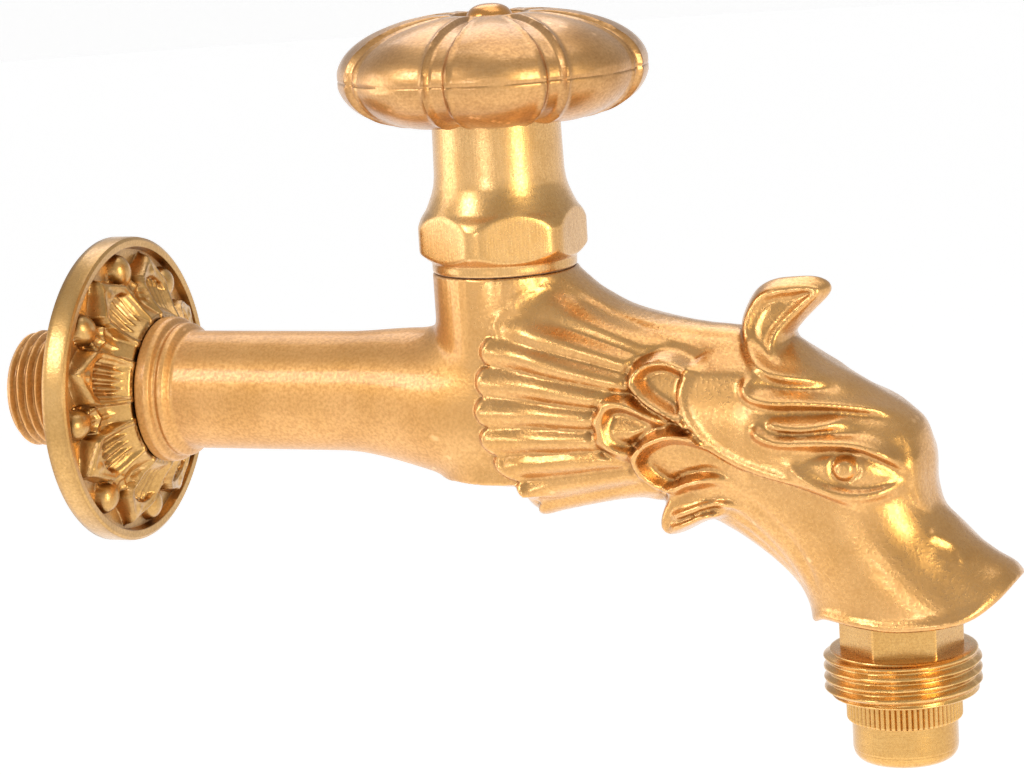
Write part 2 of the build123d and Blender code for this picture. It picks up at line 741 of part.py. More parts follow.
def stream_screen():
    """Pierced disc that lies on the nozzle's ledge."""
    disc = upright(screen_radius, knurl_top, knurl_top + screen_thickness, hose_x)
    hole = upright(screen_hole_radius, knurl_top - 1, knurl_top + screen_thickness + 1)
    disc -= Pos(hose_x, 0, 0) * hole
    for hole_index in range(screen_hole_count):
        angle = 2 * math.pi * hole_index / screen_hole_count
        disc -= Pos(hose_x + screen_hole_ring * math.cos(angle),
                    screen_hole_ring * math.sin(angle), 0) * hole
    return disc


def seals():
    """Flat rings that seal the bonnet, the union and the nozzle."""
    spigot_top = knurl_top + nozzle_spigot_length
    gasket_outer = chamber_radius - gasket_inset
    return {
        "bonnet_gasket": upright_ring(gasket_outer, chamber_bore_radius, body_top, bonnet_base, valve_x),
        "union_gasket": upright_ring(union_hex / 2, union_spigot_radius + thread_play, hex_top,
                                     union_seat, hose_x),
        "nozzle_seal": upright_ring(nozzle_spigot_radius, throat_radius, spigot_top,
                                    spigot_top + nozzle_seal_thickness, hose_x),
    }


nodes = {
    "tap_body": tap_body(),
    "wall_rosette": wall_rosette(),
    "bonnet": bonnet(),
    "spindle": spindle(),
    "jumper_clip": jumper_clip(),
    "handwheel": handwheel(),
    "handwheel_screw": handwheel_screw(),
    "screw_washer": screw_washer(),
    "hose_union": hose_union(),
    "outlet_nozzle": outlet_nozzle(),
    "stream_screen": stream_screen(),
}
nodes.update(gland_pieces())
nodes.update(jumper_pieces())
nodes.update(seals())

os.makedirs("parts", exist_ok=True)
for name, solid in nodes.items():
    export_step(solid, f"parts/{name}.step")
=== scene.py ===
import json
import math

import bpy
import numpy as np
from mathutils import Matrix, Vector


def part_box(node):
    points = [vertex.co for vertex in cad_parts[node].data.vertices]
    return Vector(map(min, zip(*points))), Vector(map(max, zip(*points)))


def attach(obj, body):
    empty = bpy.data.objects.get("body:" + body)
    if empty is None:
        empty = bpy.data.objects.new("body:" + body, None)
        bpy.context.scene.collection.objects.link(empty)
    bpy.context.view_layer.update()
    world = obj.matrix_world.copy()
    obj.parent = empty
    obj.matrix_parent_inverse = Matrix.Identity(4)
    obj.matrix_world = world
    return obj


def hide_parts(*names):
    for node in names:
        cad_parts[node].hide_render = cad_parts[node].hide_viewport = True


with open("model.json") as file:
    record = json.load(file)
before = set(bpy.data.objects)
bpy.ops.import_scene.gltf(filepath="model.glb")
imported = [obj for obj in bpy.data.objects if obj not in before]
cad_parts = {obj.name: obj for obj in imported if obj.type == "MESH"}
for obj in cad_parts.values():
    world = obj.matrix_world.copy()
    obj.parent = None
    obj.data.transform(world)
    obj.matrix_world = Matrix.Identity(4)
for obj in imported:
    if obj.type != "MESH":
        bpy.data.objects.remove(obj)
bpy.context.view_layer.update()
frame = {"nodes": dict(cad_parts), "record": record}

# Sculpting is done in millimetres in the CAD frame: X out of the wall, Z up, Y across.
MM = 0.001


def node_box(node):
    """Lowest and highest corner of a CAD node in millimetres."""
    low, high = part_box(node)
    return np.array(low) / MM, np.array(high) / MM


# Places taken from the frame
body_low, body_high = node_box("tap_body")
_, rosette_high = node_box("wall_rosette")
bonnet_low, bonnet_high = node_box("bonnet")
gasket_low, gasket_high = node_box("bonnet_gasket")
wheel_low, wheel_high = node_box("handwheel")
screw_low, screw_high = node_box("handwheel_screw")
disc_low, disc_high = node_box("screw_washer")
_, union_high = node_box("hose_union")
seal_low, seal_high = node_box("union_gasket")
nozzle_low, nozzle_high = node_box("outlet_nozzle")
valve_x = (bonnet_low[0] + bonnet_high[0]) / 2
hose_x = (nozzle_low[0] + nozzle_high[0]) / 2
body_top = gasket_low[2]
bonnet_base = gasket_high[2]
mouth_ceiling = seal_high[2]

# Both pipe threads: pitch, depth, and the flat share of a turn at the crest and at the root
THREAD_PITCH = 1.814
THREAD_DEPTH = 0.8
THREAD_FLAT = 0.12
# Outlines: sine of a bend that still counts as straight, and which points of a thinned run stay
STRAIGHT_BEND = 0.01
KEEP_EVERY = 8


# Meshes


def make_piece(name, verts, quads, material, smooth_angle=None):
    """Mesh object from points in millimetres and four-cornered faces."""
    mesh = bpy.data.meshes.new(name)
    mesh.vertices.add(len(verts))
    mesh.vertices.foreach_set("co", (np.asarray(verts, dtype=np.float64) * MM).ravel())
    quads = np.asarray(quads, dtype=np.int32)
    mesh.loops.add(quads.size)
    mesh.loops.foreach_set("vertex_index", quads.ravel())
    mesh.polygons.add(len(quads))
    mesh.polygons.foreach_set("loop_start", np.arange(0, quads.size, 4, dtype=np.int32))
    mesh.update(calc_edges=True)
    mesh.validate()
    mesh.polygons.foreach_set("use_smooth", np.ones(len(mesh.polygons), dtype=bool))
    mesh.materials.append(material)
    piece = bpy.data.objects.new(name, mesh)
    bpy.context.scene.collection.objects.link(piece)
    if smooth_angle is not None:
        mesh.set_sharp_from_angle(angle=math.radians(smooth_angle))
    return piece


def lightened(piece, share):
    """Piece whose mesh keeps only the given share of its faces, fewest where it is smooth."""
    thinner = piece.modifiers.new("lighter", "DECIMATE")
    thinner.ratio = share
    shown = piece.evaluated_get(bpy.context.evaluated_depsgraph_get())
    mesh = bpy.data.meshes.new_from_object(shown)
    piece.modifiers.clear()
    piece.data = mesh
    return piece


def dense(points, spacing):
    """Closed outline with points at an even spacing."""
    points = np.array(points, dtype=float)
    runs = []
    for start, end in zip(points, np.roll(points, -1, axis=0)):
        count = max(1, int(np.ceil(np.hypot(*(end - start)) / spacing)))
        share = np.arange(count)[:, None] / count
        runs.append(start + (end - start) * share)
    return np.concatenate(runs)


def eased(outline, rounds):
    """Closed outline with its corners rounded by repeated averaging."""
    for _ in range(rounds):
        outline = (np.roll(outline, 1, axis=0) + 2 * outline + np.roll(outline, -1, axis=0)) / 4
    return outline


def rounded(points, spacing, rounds):
    """Closed outline through the points at an even spacing, its corners eased."""
    return eased(dense(points, spacing), rounds)


def thinned(outline, reach, beyond=math.inf):
    """Outline with few points on straight runs that are nearer to the axis than reach or beyond a height."""
    before = outline - np.roll(outline, 1, axis=0)
    after = np.roll(outline, -1, axis=0) - outline
    bend = np.abs(before[:, 0] * after[:, 1] - before[:, 1] * after[:, 0])
    straight = bend < STRAIGHT_BEND * np.hypot(*before.T) * np.hypot(*after.T)
    plain = (outline[:, 0] < reach) | (outline[:, 1] > beyond)
    spare = straight & plain & (np.arange(len(outline)) % KEEP_EVERY > 0)
    return outline[~spare]


def ring_grid(outline, segments, shape=None):
    """Points and faces of a ring turned from a closed (radius, height) outline about the Z axis.

    shape(angle, radius, height) may change the radius and the height at each point.
    """
    angle = np.arange(segments) * 2 * math.pi / segments
    turn, radius = np.meshgrid(angle, outline[:, 0], indexing="ij")
    height = np.broadcast_to(outline[:, 1], radius.shape).copy()
    if shape is not None:
        radius, height = shape(turn, radius, height)
    verts = np.stack([radius * np.cos(turn), radius * np.sin(turn), height], axis=-1)
    count = len(outline)
    seg, step = np.meshgrid(np.arange(segments), np.arange(count), indexing="ij")
    next_seg, next_step = (seg + 1) % segments, (step + 1) % count
    quads = np.stack([seg * count + step, next_seg * count + step,
                      next_seg * count + next_step, seg * count + next_step], axis=-1)
    return verts.reshape(-1, 3), quads.reshape(-1, 4)


def upright_at(part, x):
    """Ring moved so that its vertical axis stands at X."""
    verts, quads = part
    return verts + np.array([x, 0, 0.0]), quads


def along_shank(part):
    """Ring turned so that its axis lies along X, height becoming X."""
    verts, quads = part
    return verts[:, [2, 0, 1]], quads


def screw_thread(turn, height, start, end, run_out):
    """Depth of a thread groove, fading at both ends of the threaded length."""
    phase = height / THREAD_PITCH - turn / (2 * math.pi)
    tooth = np.abs(2 * (phase - np.floor(phase)) - 1)
    groove = np.clip((tooth - THREAD_FLAT) / (1 - 2 * THREAD_FLAT), 0, 1)
    fade = np.clip((height - start) / run_out, 0, 1) * np.clip((end - height) / run_out, 0, 1)
    return THREAD_DEPTH * groove * fade


def smooth_step(low, high, value):
    """0 below low, 1 above high, smooth between."""
    share = np.clip((value - low) / (high - low), 0, 1)
    return share * share * (3 - 2 * share)


def bell(distance, width):
    """Rounded bump across a line."""
    return np.exp(-(distance / width) ** 2)


def roll(depth, height, place, width):
    """Bead along an edge, by the depth inside that edge: its height, place and half width."""
    return height * bell(depth - place, width)


# Side drawing of the beast


def curve(points, closed=False, steps=8):
    """Smooth line through (X, Z) points."""
    points = np.array(points, dtype=float)
    if closed:
        padded = np.concatenate([points[-1:], points, points[:2]])
    else:
        padded = np.concatenate([points[:1], points, points[-1:]])
    share = np.arange(steps)[:, None] / steps
    runs = []
    for before, start, end, after in zip(padded, padded[1:], padded[2:], padded[3:]):
        slope_start, slope_end = (end - before) / 2, (after - start) / 2
        bend = 3 * (end - start) - 2 * slope_start - slope_end
        twist = 2 * (start - end) + slope_start + slope_end
        runs.append(start + share * (slope_start + share * (bend + share * twist)))
    if not closed:
        runs.append(points[-1:])
    return np.concatenate(runs)


def line_distance(line, x, z, closed=False):
    """Distance from each grid point to a line, and how far along it the nearest place is."""
    best = np.full(x.shape, 1e9)
    place = np.zeros(x.shape)
    starts = line if closed else line[:-1]
    ends = np.roll(line, -1, axis=0) if closed else line[1:]
    for index, (start, end) in enumerate(zip(starts, ends)):
        run = end - start
        length = max(run @ run, 1e-9)
        share = np.clip(((x - start[0]) * run[0] + (z - start[1]) * run[1]) / length, 0, 1)
        gap = np.hypot(x - start[0] - share * run[0], z - start[1] - share * run[1])
        nearer = gap < best
        best = np.where(nearer, gap, best)
        place = np.where(nearer, (index + share) / len(starts), place)
    return best, place


def depth_inside(line, x, z):
    """Distance to a closed line, positive inside it."""
    gap, _ = line_distance(line, x, z, closed=True)
    inside = np.zeros(x.shape, dtype=bool)
    for start, end in zip(line, np.roll(line, -1, axis=0)):
        if start[1] == end[1]:
            continue
        crosses = (start[1] > z) != (end[1] > z)
        cut = start[0] + (z - start[1]) / (end[1] - start[1]) * (end[0] - start[0])
        inside ^= crosses & (x < cut)
    return np.where(inside, gap, -gap)


def blurred(values, spread):
    """Grid values averaged over about the given number of cells."""
    for _ in ("along X", "along Z"):
        for _ in range(spread * spread):
            padded = np.concatenate([values[:1], values, values[-1:]])
            values = (padded[:-2] + 2 * values + padded[2:]) / 4
        values = values.T
    return values


# Outline of neck and head on the middle plane; it runs on below the lips, which are cut later
NECK_OUTLINE = (
    (80, 21), (86.5, 21.8), (89.3, 21.5), (91, 20.4), (92.5, 19.1), (94.2, 17.9), (98.2, 15.7),
    (102.7, 14.2), (108, 13.1), (113.2, 12.3), (119.3, 11.8), (124.5, 11.2), (128.1, 9.9), (133.2, 6),
    (137.9, 3.4), (142.7, 0.7), (147, -1.9),
    (149.6, -4.6), (150.9, -9.9), (150.9, -14.6), (151.9, -18), (154.3, -20.6), (156.8, -23.3),
    (160.3, -25.9), (164.4, -28.7), (167, -36), (164, -52), (146, -58), (133, -50), (129.6, -40),
    (129.3, -37.2), (128.3, -33.7), (126.6, -31), (124, -28.3), (120.6, -25.6), (116.7, -23),
    (112, -20.6), (107, -18.6), (102.2, -17.7), (98.2, -17.7), (92.7, -18.6), (87.1, -19.8),
    (84.3, -20.5), (81.8, -20.2), (80, -18.9), (78.6, -16.9), (76, -13), (74, -8), (74, 12),
)
CREST_OUTLINE = (
    (119.9, 9.8), (119.3, 12.6), (120.1, 15.4), (121.9, 18.1), (124.6, 19.6), (128.5, 20.1),
    (131.8, 20.1), (133.9, 19.3), (134.5, 18.1), (133.9, 16.8), (131.4, 14.4), (129.2, 12.2),
    (127.8, 10), (129.4, 7.4), (132.4, 4.6), (128.6, 4), (124.6, 5.4), (121.6, 7.4),
)
LIP_LINE = ((120, -37.9), (129.3, -37.8), (133.5, -36.2), (140, -36.5), (147.3, -36.8), (157, -35.3),
            (161.6, -32.8), (164.9, -29.4), (169, -24.5))

# Leaf lobes on the flank: outline, root from which its ribs spread, number of ribs, height, hollow
LEAVES = (
    (((96.8, -2.8), (98, 0.7), (101.2, 1.9), (105.5, 0.6), (110.5, -2.2), (110.5, -5.6), (105.6, -8.6),
      (100.6, -8.2), (97.6, -6.2)), (114, -3.6), 2, 1.15, 0.75),
    (((102.8, 4.6), (104.1, 7.4), (107.2, 8.7), (111, 8.2), (116, 5.4), (117, 0), (114, -3.4),
      (109.6, -1.4), (105.2, 1.4)), (122, 2), 0, 1.7, 1.25),
    (((102.6, -9.6), (103.6, -6.4), (106.6, -4.2), (111.5, -3.2), (118.5, -5.4), (122.5, -11),
      (116.5, -14.8), (108.8, -15.2), (104.6, -13.1)), (119.2, -12.6), 0, 1.8, 1.6),
    (((104.9, -20.3), (105.7, -17.4), (107.7, -14.5), (110.1, -12.5), (113, -11.3), (117, -11),
      (121, -13.2), (118, -18), (114.2, -20.1), (111.6, -21.3), (109.2, -22.5), (107, -23.1),
      (105.3, -22.3)), (121.6, -14.4), 0, 1.3, 0.8),
)
FIN = LEAVES[-1]
FIN_HALF_WIDTH = ((105, 9.2), (110, 10.8), (115, 10.6), (119, 7.5), (122, 5))
FIN_SWELL = 2.8
LEAST_RELIEF = -0.15
# Over which depths inside its edge a lobe steps up, its face sinks and its ribs begin
LOBE_STEP = (-0.5, 0.7)
LOBE_BOWL = (0.9, 3)
LOBE_RIBS = (1, 2.4)
# Beads along edges are given by height, place inside the edge and half width
LOBE_RIM = (0.65, 1.05, 0.8)
LOBE_MOAT = (0.3, -0.7, 0.6)
# Where a lobe covers what lies under it, and how much lower it is at its edge
LOBE_UNDER = (0.9, -0.3)
LOBE_EDGE_LOSS = 0.35
# Distances from the root over which the ribs and the whole lobe grow
RIB_GROWTH = (5, 12)
LOBE_GROWTH = (2, 9)
RIB_HEIGHT = 0.45
CHEEK_OUTLINE = (
    (122, 12), (116.5, 9.4), (113.2, 7.4), (111.6, 4.6), (111.3, 1.6), (112.6, -2.2), (116.2, -6.3),
    (120.5, -9.1), (125, -10.9), (131, -12.6), (137.3, -15), (143, -17.4), (150, -19),
    (152, 0), (138, 8),
)
# Cheek plate: height, step at its edge, cover of what lies under it, least depth, fades and rim
CHEEK_HEIGHT = 1.45
CHEEK_STEP = (-0.35, 0.55)
CHEEK_COVER = (-0.1, 0.5)
CHEEK_LEAST = -0.4
CHEEK_FADE_UP = (9.6, 5.4)
CHEEK_FADE_FRONT = (146, 126)
CHEEK_RIM = (0.25, 0.9, 0.8)

# Ridges on the flank: points (X, Z), half width, height
RIDGES = (
    (((123.8, 5.4), (123.1, 4), (124.2, 2.4), (127.4, 1.5), (131.5, 1.2), (137.2, 0.4), (144, -1),
      (149, -3)), 1.1, 1.25),
    (((126.4, -1.8), (129.8, -2.7), (133.5, -2.9), (138.8, -2.2)), 1, 0.8),
    (((124.6, -2), (125.6, -3.8), (129, -4.9), (135, -5.1), (141.4, -5.9), (146, -8.2),
      (148.7, -11.8)), 1.3, 1.3),
    (((129.6, -9), (134.2, -12), (138.6, -13.8), (143.2, -14.1), (148.2, -12.6)), 1.15, 0.75),
    (((121, 11), (122.6, 8.8), (125.2, 6.8), (128.4, 5.4), (132, 4.6), (135.6, 3.8)), 0.95, 0.9),
    (((151, -20.8), (153.8, -22.3), (155.7, -23.9), (156.6, -26.4)), 0.8, 0.5),
    (((107.9, -18.9), (112.1, -17.4), (114.9, -16.4), (117.8, -16.3), (121, -17.4)), 0.7, 0.75),
    (((107.6, -21), (111.6, -19.5), (113.9, -18.5), (117.4, -18.4)), 0.65, 0.7),
)
# Grooves on the flank: points (X, Z), half width, depth
GROOVES = (
    (((124.8, 4.9), (127.6, 3.6), (131.4, 2.9), (137, 2.2)), 0.7, 0.4),
    (((126, -0.4), (131, -0.7), (138, -1), (145, -2.8)), 0.9, 0.4),
    (((126.6, -3.5), (131, -4), (136, -4), (142, -4.6)), 0.6, 0.5),
    (((131, -8.6), (135, -7.3), (140, -7.2), (145, -9.4), (148, -11.8)), 0.9, 0.6),
    (((133.6, -10.6), (136.4, -12), (139.4, -12.6), (144, -12.5), (147.8, -11.8)), 0.7, 0.35),
    (((152.2, -23.2), (154.2, -24.6), (155.2, -26.6)), 0.9, 0.22),
    (((116.5, -16.5), (121, -19.4), (125.2, -23.8), (128.2, -28.8), (130, -34)), 0.8, 0.4),
    (((118.5, -14), (123.5, -16.6), (128, -21.2), (131, -26.4), (132.6, -31.6)), 0.8, 0.35),
    (((117.5, -19.6), (120.5, -21.6), (124, -24.8), (126.8, -28.8), (128.8, -33.6)), 0.7, 0.35),
)
EYE = (138.9, -9.6)
EYE_RADIUS = 2.1
# Rise of the eyeball, then depth and half width of the ring round it and of the pupil
EYE_RISE = 0.6
EYE_RING, EYE_RING_WIDTH = 0.35, 0.45
PUPIL, PUPIL_WIDTH = 0.2, 0.8
# Along a line, from 0 to 1: where a ridge or a groove begins, and where both end
RIDGE_ENTRY = (0, 0.16)
GROOVE_ENTRY = (0, 0.3)
LINE_EXIT = (1, 0.8)
# Height of a ridge at its ends as a share of its own, and where its foot dies out
RIDGE_LEAST = 0.12
RIDGE_FOOT = (3, 0)
# Rolled lip above the mouth line, and where it ends under the nose
LIP_ROLL = (0.55, 0.8, 0.9)
LIP_FADE = (164, 156)

# Shell fan: the flutes spread from one focus, their tips on the scalloped edge
FAN_FOCUS = (142, -5)
FAN_EDGE = ((88.5, 22.5), (82, 18.6), (78.6, 15.1), (76.9, 10.5), (75.9, 6.2), (75.5, 1.1),
            (75.9, -4.1), (77.1, -8.6), (79.6, -12.4), (82.2, -16.4), (82.6, -21))
FLUTE_PITCH = math.radians(4.55)
FLUTE_SHIFT = math.radians(1.6)
FLUTE_TIP = 2.0
FLUTE_HEIGHT = 0.88
# Section of a flute: exponent of its crown, and the part of it that lies below the fan's face
FLUTE_CROWN = 0.65
FLUTE_SUNK = 0.55
# Flutes are lowest near the focus and grow over this distance from it
FLUTE_LEAST = 0.35
FLUTE_GROWTH = (16, 60)
FAN_THICKNESS = 1.1
FAN_STEP = (-0.45, 0.75)
FAN_LIP = (0.2, 1, 0.7)
# The fan fades up and back towards the bonnet, and forwards under the leaves
FAN_FADE_UP = (8.5, 16)
FAN_FADE_BACK = (98, 86)
FAN_TAPER = (114, 98)


def lobe_relief(line, root, ribs, height, hollow, x, z):
    """Petal with a rolled rim, a hollow face and ribs that spread from its root.

    Gives its height, the depth inside its outline and how far it has grown from its root.
    """
    depth = depth_inside(curve(line, closed=True), x, z)
    relief = smooth_step(*LOBE_STEP, depth) * height
    relief += roll(depth, *LOBE_RIM)
    relief -= smooth_step(*LOBE_BOWL, depth) * hollow
    from_root = np.hypot(x - root[0], z - root[1])
    if ribs:
        points = np.array(line)
        bearing = np.arctan2(points[:, 1] - root[1], root[0] - points[:, 0])
        share = (np.arctan2(z - root[1], root[0] - x) - bearing.min()) / np.ptp(bearing)
        wave = np.cos(2 * math.pi * ribs * (share - 0.5))
        relief += RIB_HEIGHT * wave * smooth_step(*LOBE_RIBS, depth) * smooth_step(*RIB_GROWTH, from_root)
    grown = smooth_step(*LOBE_GROWTH, from_root)
    return np.where(depth > LOBE_STEP[0], relief * grown, 0), depth, grown


def fan_relief(x, z):
    """Flutes of the shell fan, with rounded tips that lie on the chamber and belly."""
    angle = np.arctan2(z - FAN_FOCUS[1], FAN_FOCUS[0] - x)
    reach = np.hypot(x - FAN_FOCUS[0], z - FAN_FOCUS[1])
    edge = curve(FAN_EDGE)
    edge_angle = np.arctan2(edge[:, 1] - FAN_FOCUS[1], FAN_FOCUS[0] - edge[:, 0])
    edge_reach = np.hypot(edge[:, 0] - FAN_FOCUS[0], edge[:, 1] - FAN_FOCUS[1])
    order = np.argsort(edge_angle)
    limit = np.interp(angle, edge_angle[order], edge_reach[order])
    place = (angle - FLUTE_SHIFT) / FLUTE_PITCH
    across = 2 * (place - np.floor(place)) - 1
    crown = ((1 + np.cos(math.pi * across)) / 2) ** FLUTE_CROWN
    tip = np.sqrt(np.clip(1 - across ** 2, 0, 1))
    inward = limit + FLUTE_TIP * (tip - 1) - reach
    grown = FLUTE_LEAST + (1 - FLUTE_LEAST) * smooth_step(*FLUTE_GROWTH, reach)
    flute = (crown - FLUTE_SUNK) * FLUTE_HEIGHT * grown
    fading = 1 - smooth_step(*FAN_FADE_UP, z) * smooth_step(*FAN_FADE_BACK, x)
    seat = smooth_step(*FAN_STEP, inward) * smooth_step(*FAN_TAPER, x)
    return seat * ((FAN_THICKNESS + flute) * fading + roll(inward, *FAN_LIP))


def flank_relief(x, z):
    """Height of everything modelled on the flank, above the plain swelling of neck and head."""
    relief = fan_relief(x, z)
    for leaf in LEAVES:
        raised, depth, grown = lobe_relief(*leaf, x, z)
        under = smooth_step(*LOBE_UNDER, depth)
        kept = 1 - (1 - under) * grown
        relief = relief * kept + raised * (1 - LOBE_EDGE_LOSS * under) - roll(depth, *LOBE_MOAT) * grown
    relief = np.maximum(relief, LEAST_RELIEF)
    cheek = depth_inside(curve(CHEEK_OUTLINE, closed=True), x, z)
    fade = smooth_step(*CHEEK_FADE_UP, z) * smooth_step(*CHEEK_FADE_FRONT, x)
    plate = smooth_step(*CHEEK_STEP, cheek) * CHEEK_HEIGHT + roll(cheek, *CHEEK_RIM)
    covered = smooth_step(*CHEEK_COVER, cheek) * fade
    relief = relief * (1 - covered) + np.where(cheek > CHEEK_LEAST, plate * fade, 0)
    for points, width, height in RIDGES:
        gap, place = line_distance(curve(points), x, z)
        ends = smooth_step(*RIDGE_ENTRY, place) * smooth_step(*LINE_EXIT, place)
        strength = RIDGE_LEAST + (1 - RIDGE_LEAST) * ends
        relief += bell(gap, width) * height * strength * smooth_step(*RIDGE_FOOT, gap)
    for points, width, depth in GROOVES:
        gap, place = line_distance(curve(points), x, z)
        ends = smooth_step(*GROOVE_ENTRY, place) * smooth_step(*LINE_EXIT, place)
        relief -= bell(gap, width) * depth * ends
    eye = np.hypot(x - EYE[0], z - EYE[1])
    relief += EYE_RISE * np.clip(1 - (eye / EYE_RADIUS) ** 2, 0, 1)
    relief -= EYE_RING * bell(eye - EYE_RADIUS, EYE_RING_WIDTH) + PUPIL * bell(eye, PUPIL_WIDTH)
    lip, _ = line_distance(curve(LIP_LINE), x, z)
    return relief + roll(lip, *LIP_ROLL) * smooth_step(*LIP_FADE, x)


# Half width of neck and head along X, depth over which it swells, and softening in cells
HEAD_HALF_WIDTH = ((74, 11), (82, 12.3), (92, 12.9), (105, 12.7), (118, 12.5), (135, 12.2), (146, 12.9),
                   (156, 13.1), (166, 12.4))
HEAD_SWELL = 15.0
HEAD_SOFTENING = 4
# Half width of the crest by height: it spreads at its foot and narrows to its tip along X
CREST_HALF_WIDTH = ((2, 12.2), (6, 11), (9, 8.8), (12, 6.8), (16, 5.4), (20, 4.4))
CREST_SWELL = 5.0
CREST_SOFTENING = 2
CREST_TIP_SHARE = 0.72
CREST_TIP_RUN = (133, 124)
# Rim of the crest, the depth of its hollow side and where that sinks
CREST_RIM = (0.6, 1.3, 0.9)
CREST_HOLLOW = 1.3
CREST_HOLLOW_RUN = (1.8, 3.6)
FIN_SOFTENING = 3
# Flat front of the face between the brows and the nose
BRIDGE_OUTLINE = (
    (146.2, -4.4), (148.6, -4.4), (150, -7.4), (150.6, -10.4), (150.6, -14.6), (151.3, -17.4),
    (152, -19), (150, -18.6), (147.6, -15), (146.8, -9),
)
BRIDGE_HALF_WIDTH = ((-20, 4.6), (-16, 7.2), (-9, 7.4), (-4, 4.2))
BRIDGE_SWELL = 1.6
BRIDGE_SOFTENING = 1
# Fine groove along the back, and where it starts and ends along X and in height
BACK_LINE = (0.45, 1.25, 0.45)
BACK_START, BACK_END, BACK_LEVEL = (90, 95), (121, 118), (4, 8)
# A cushion's field: how far it runs on outside its outline, and the shares between which it is softened
OUTSIDE_SHARE = -0.6
SOFTENED_SHARE = (0, 0.3)


def swollen(outline, half_width, swell, x, z, spread):
    """Squared half width of a cushion-like form over its side outline, and the depth inside the outline."""
    depth = depth_inside(curve(outline, closed=True, steps=5), x, z)
    share = np.clip(depth / swell, OUTSIDE_SHARE, 1)
    squared = half_width ** 2 * (1 - (1 - share) ** 2)
    soft = blurred(squared, spread)
    keep = smooth_step(*SOFTENED_SHARE, share)
    return squared * (1 - keep) + soft * keep, depth


def blend(a, b, reach):
    """Union of two forms with a fillet between them; forms are positive inside."""
    share = np.clip(0.5 + (a - b) / (2 * reach), 0, 1)
    return b + (a - b) * share + reach * share * (1 - share)


def cut(form, tool, reach):
    """Form without the tool, the edge eased."""
    return -blend(-form, tool, reach)


def surface_net(field, origin, step):
    """Points and faces of the zero surface of a sampled form that is positive inside."""
    solid = field > 0
    corners = [(i, j, k) for i in (0, 1) for j in (0, 1) for k in (0, 1)]
    size = np.array(field.shape) - 1
    count = np.zeros(size, dtype=np.int8)
    for i, j, k in corners:
        count += solid[i:size[0] + i, j:size[1] + j, k:size[2] + k]
    cells = np.argwhere((count > 0) & (count < 8))
    number = np.full(size, -1, dtype=np.int32)
    number[tuple(cells.T)] = np.arange(len(cells))
    value = {c: field[tuple((cells + c).T)] for c in corners}
    total = np.zeros((len(cells), 3))
    hits = np.zeros(len(cells))
    for start in corners:
        for axis in range(3):
            if start[axis]:
                continue
            end = tuple(1 if k == axis else start[k] for k in range(3))
            crossed = (value[start] > 0) != (value[end] > 0)
            share = np.where(crossed, value[start] / np.where(crossed, value[start] - value[end], 1), 0)
            point = np.array(start, dtype=float) + share[:, None] * np.eye(3)[axis]
            total += np.where(crossed[:, None], point, 0)
            hits += crossed
    verts = origin + step * (cells + total / hits[:, None])
    quads = []
    for axis in range(3):
        one, two = (axis + 1) % 3, (axis + 2) % 3
        low = [slice(None)] * 3
        high = [slice(None)] * 3
        low[axis], high[axis] = slice(0, -1), slice(1, None)
        changed = solid[tuple(low)] != solid[tuple(high)]
        edges = np.argwhere(changed)
        fits = (edges[:, one] > 0) & (edges[:, two] > 0)
        fits &= (edges[:, one] < size[one]) & (edges[:, two] < size[two])
        edges = edges[fits]
        around = []
        for back_one, back_two in ((1, 1), (0, 1), (0, 0), (1, 0)):
            cell = edges.copy()
            cell[:, one] -= back_one
            cell[:, two] -= back_two
            around.append(number[tuple(cell.T)])
        faces = np.stack(around, axis=-1)
        outward = solid[tuple(edges.T)]
        faces[~outward] = faces[~outward][:, ::-1]
        quads.append(faces)
    return verts, np.concatenate(quads)


# Casting behind the beast
SHANK_RADIUS = 10.5
CHAMBER_RADIUS = 12.4
BELLY_RADIUS = 13.8
BELLY_DROP = 2.5
BELLY_START = 45.0
BORE_RADIUS = 6.0
CHAMBER_BORE = 9.6
CHAMBER_FLOOR = 8.0
MOUTH_RECESS = 10.7
NET_STEP = 0.41
NET_HALF_WIDTH = 17.0
# Fillets between the forms of the casting
CHAMBER_FILLET = 4.5
BELLY_FILLET_LEAST, BELLY_FILLET = 0.02, 2.0
BELLY_FILLET_RUN = (BELLY_START + 1, BELLY_START + 14)
NECK_FILLET = 2.2
FIN_FILLET = 0.8
BRIDGE_FILLET = 1.2
CREST_FILLET = 1.4
SHOULDER_FILLET = 0.3
LIP_EASE = 0.7
MOUTH_EASE = 0.25
# Shoulder under the bonnet: a cone that opens downwards, in force behind this run along X
SHOULDER_SLOPE, SHOULDER_CURVE = 0.9, 0.12
SHOULDER_END = (94, 106)
FAR_AWAY = 100
# Distances from the middle plane over which the relief and the crest's rim set in
RELIEF_START = (1, 6)
CREST_RIM_START = (0.8, 3.5)
# A cushion's distance: softening at thin edges, squared width of its core, reach of the flank
CUSHION_SOFT = 4.0
CUSHION_CORE = 9.0
CUSHION_REACH = 3.0


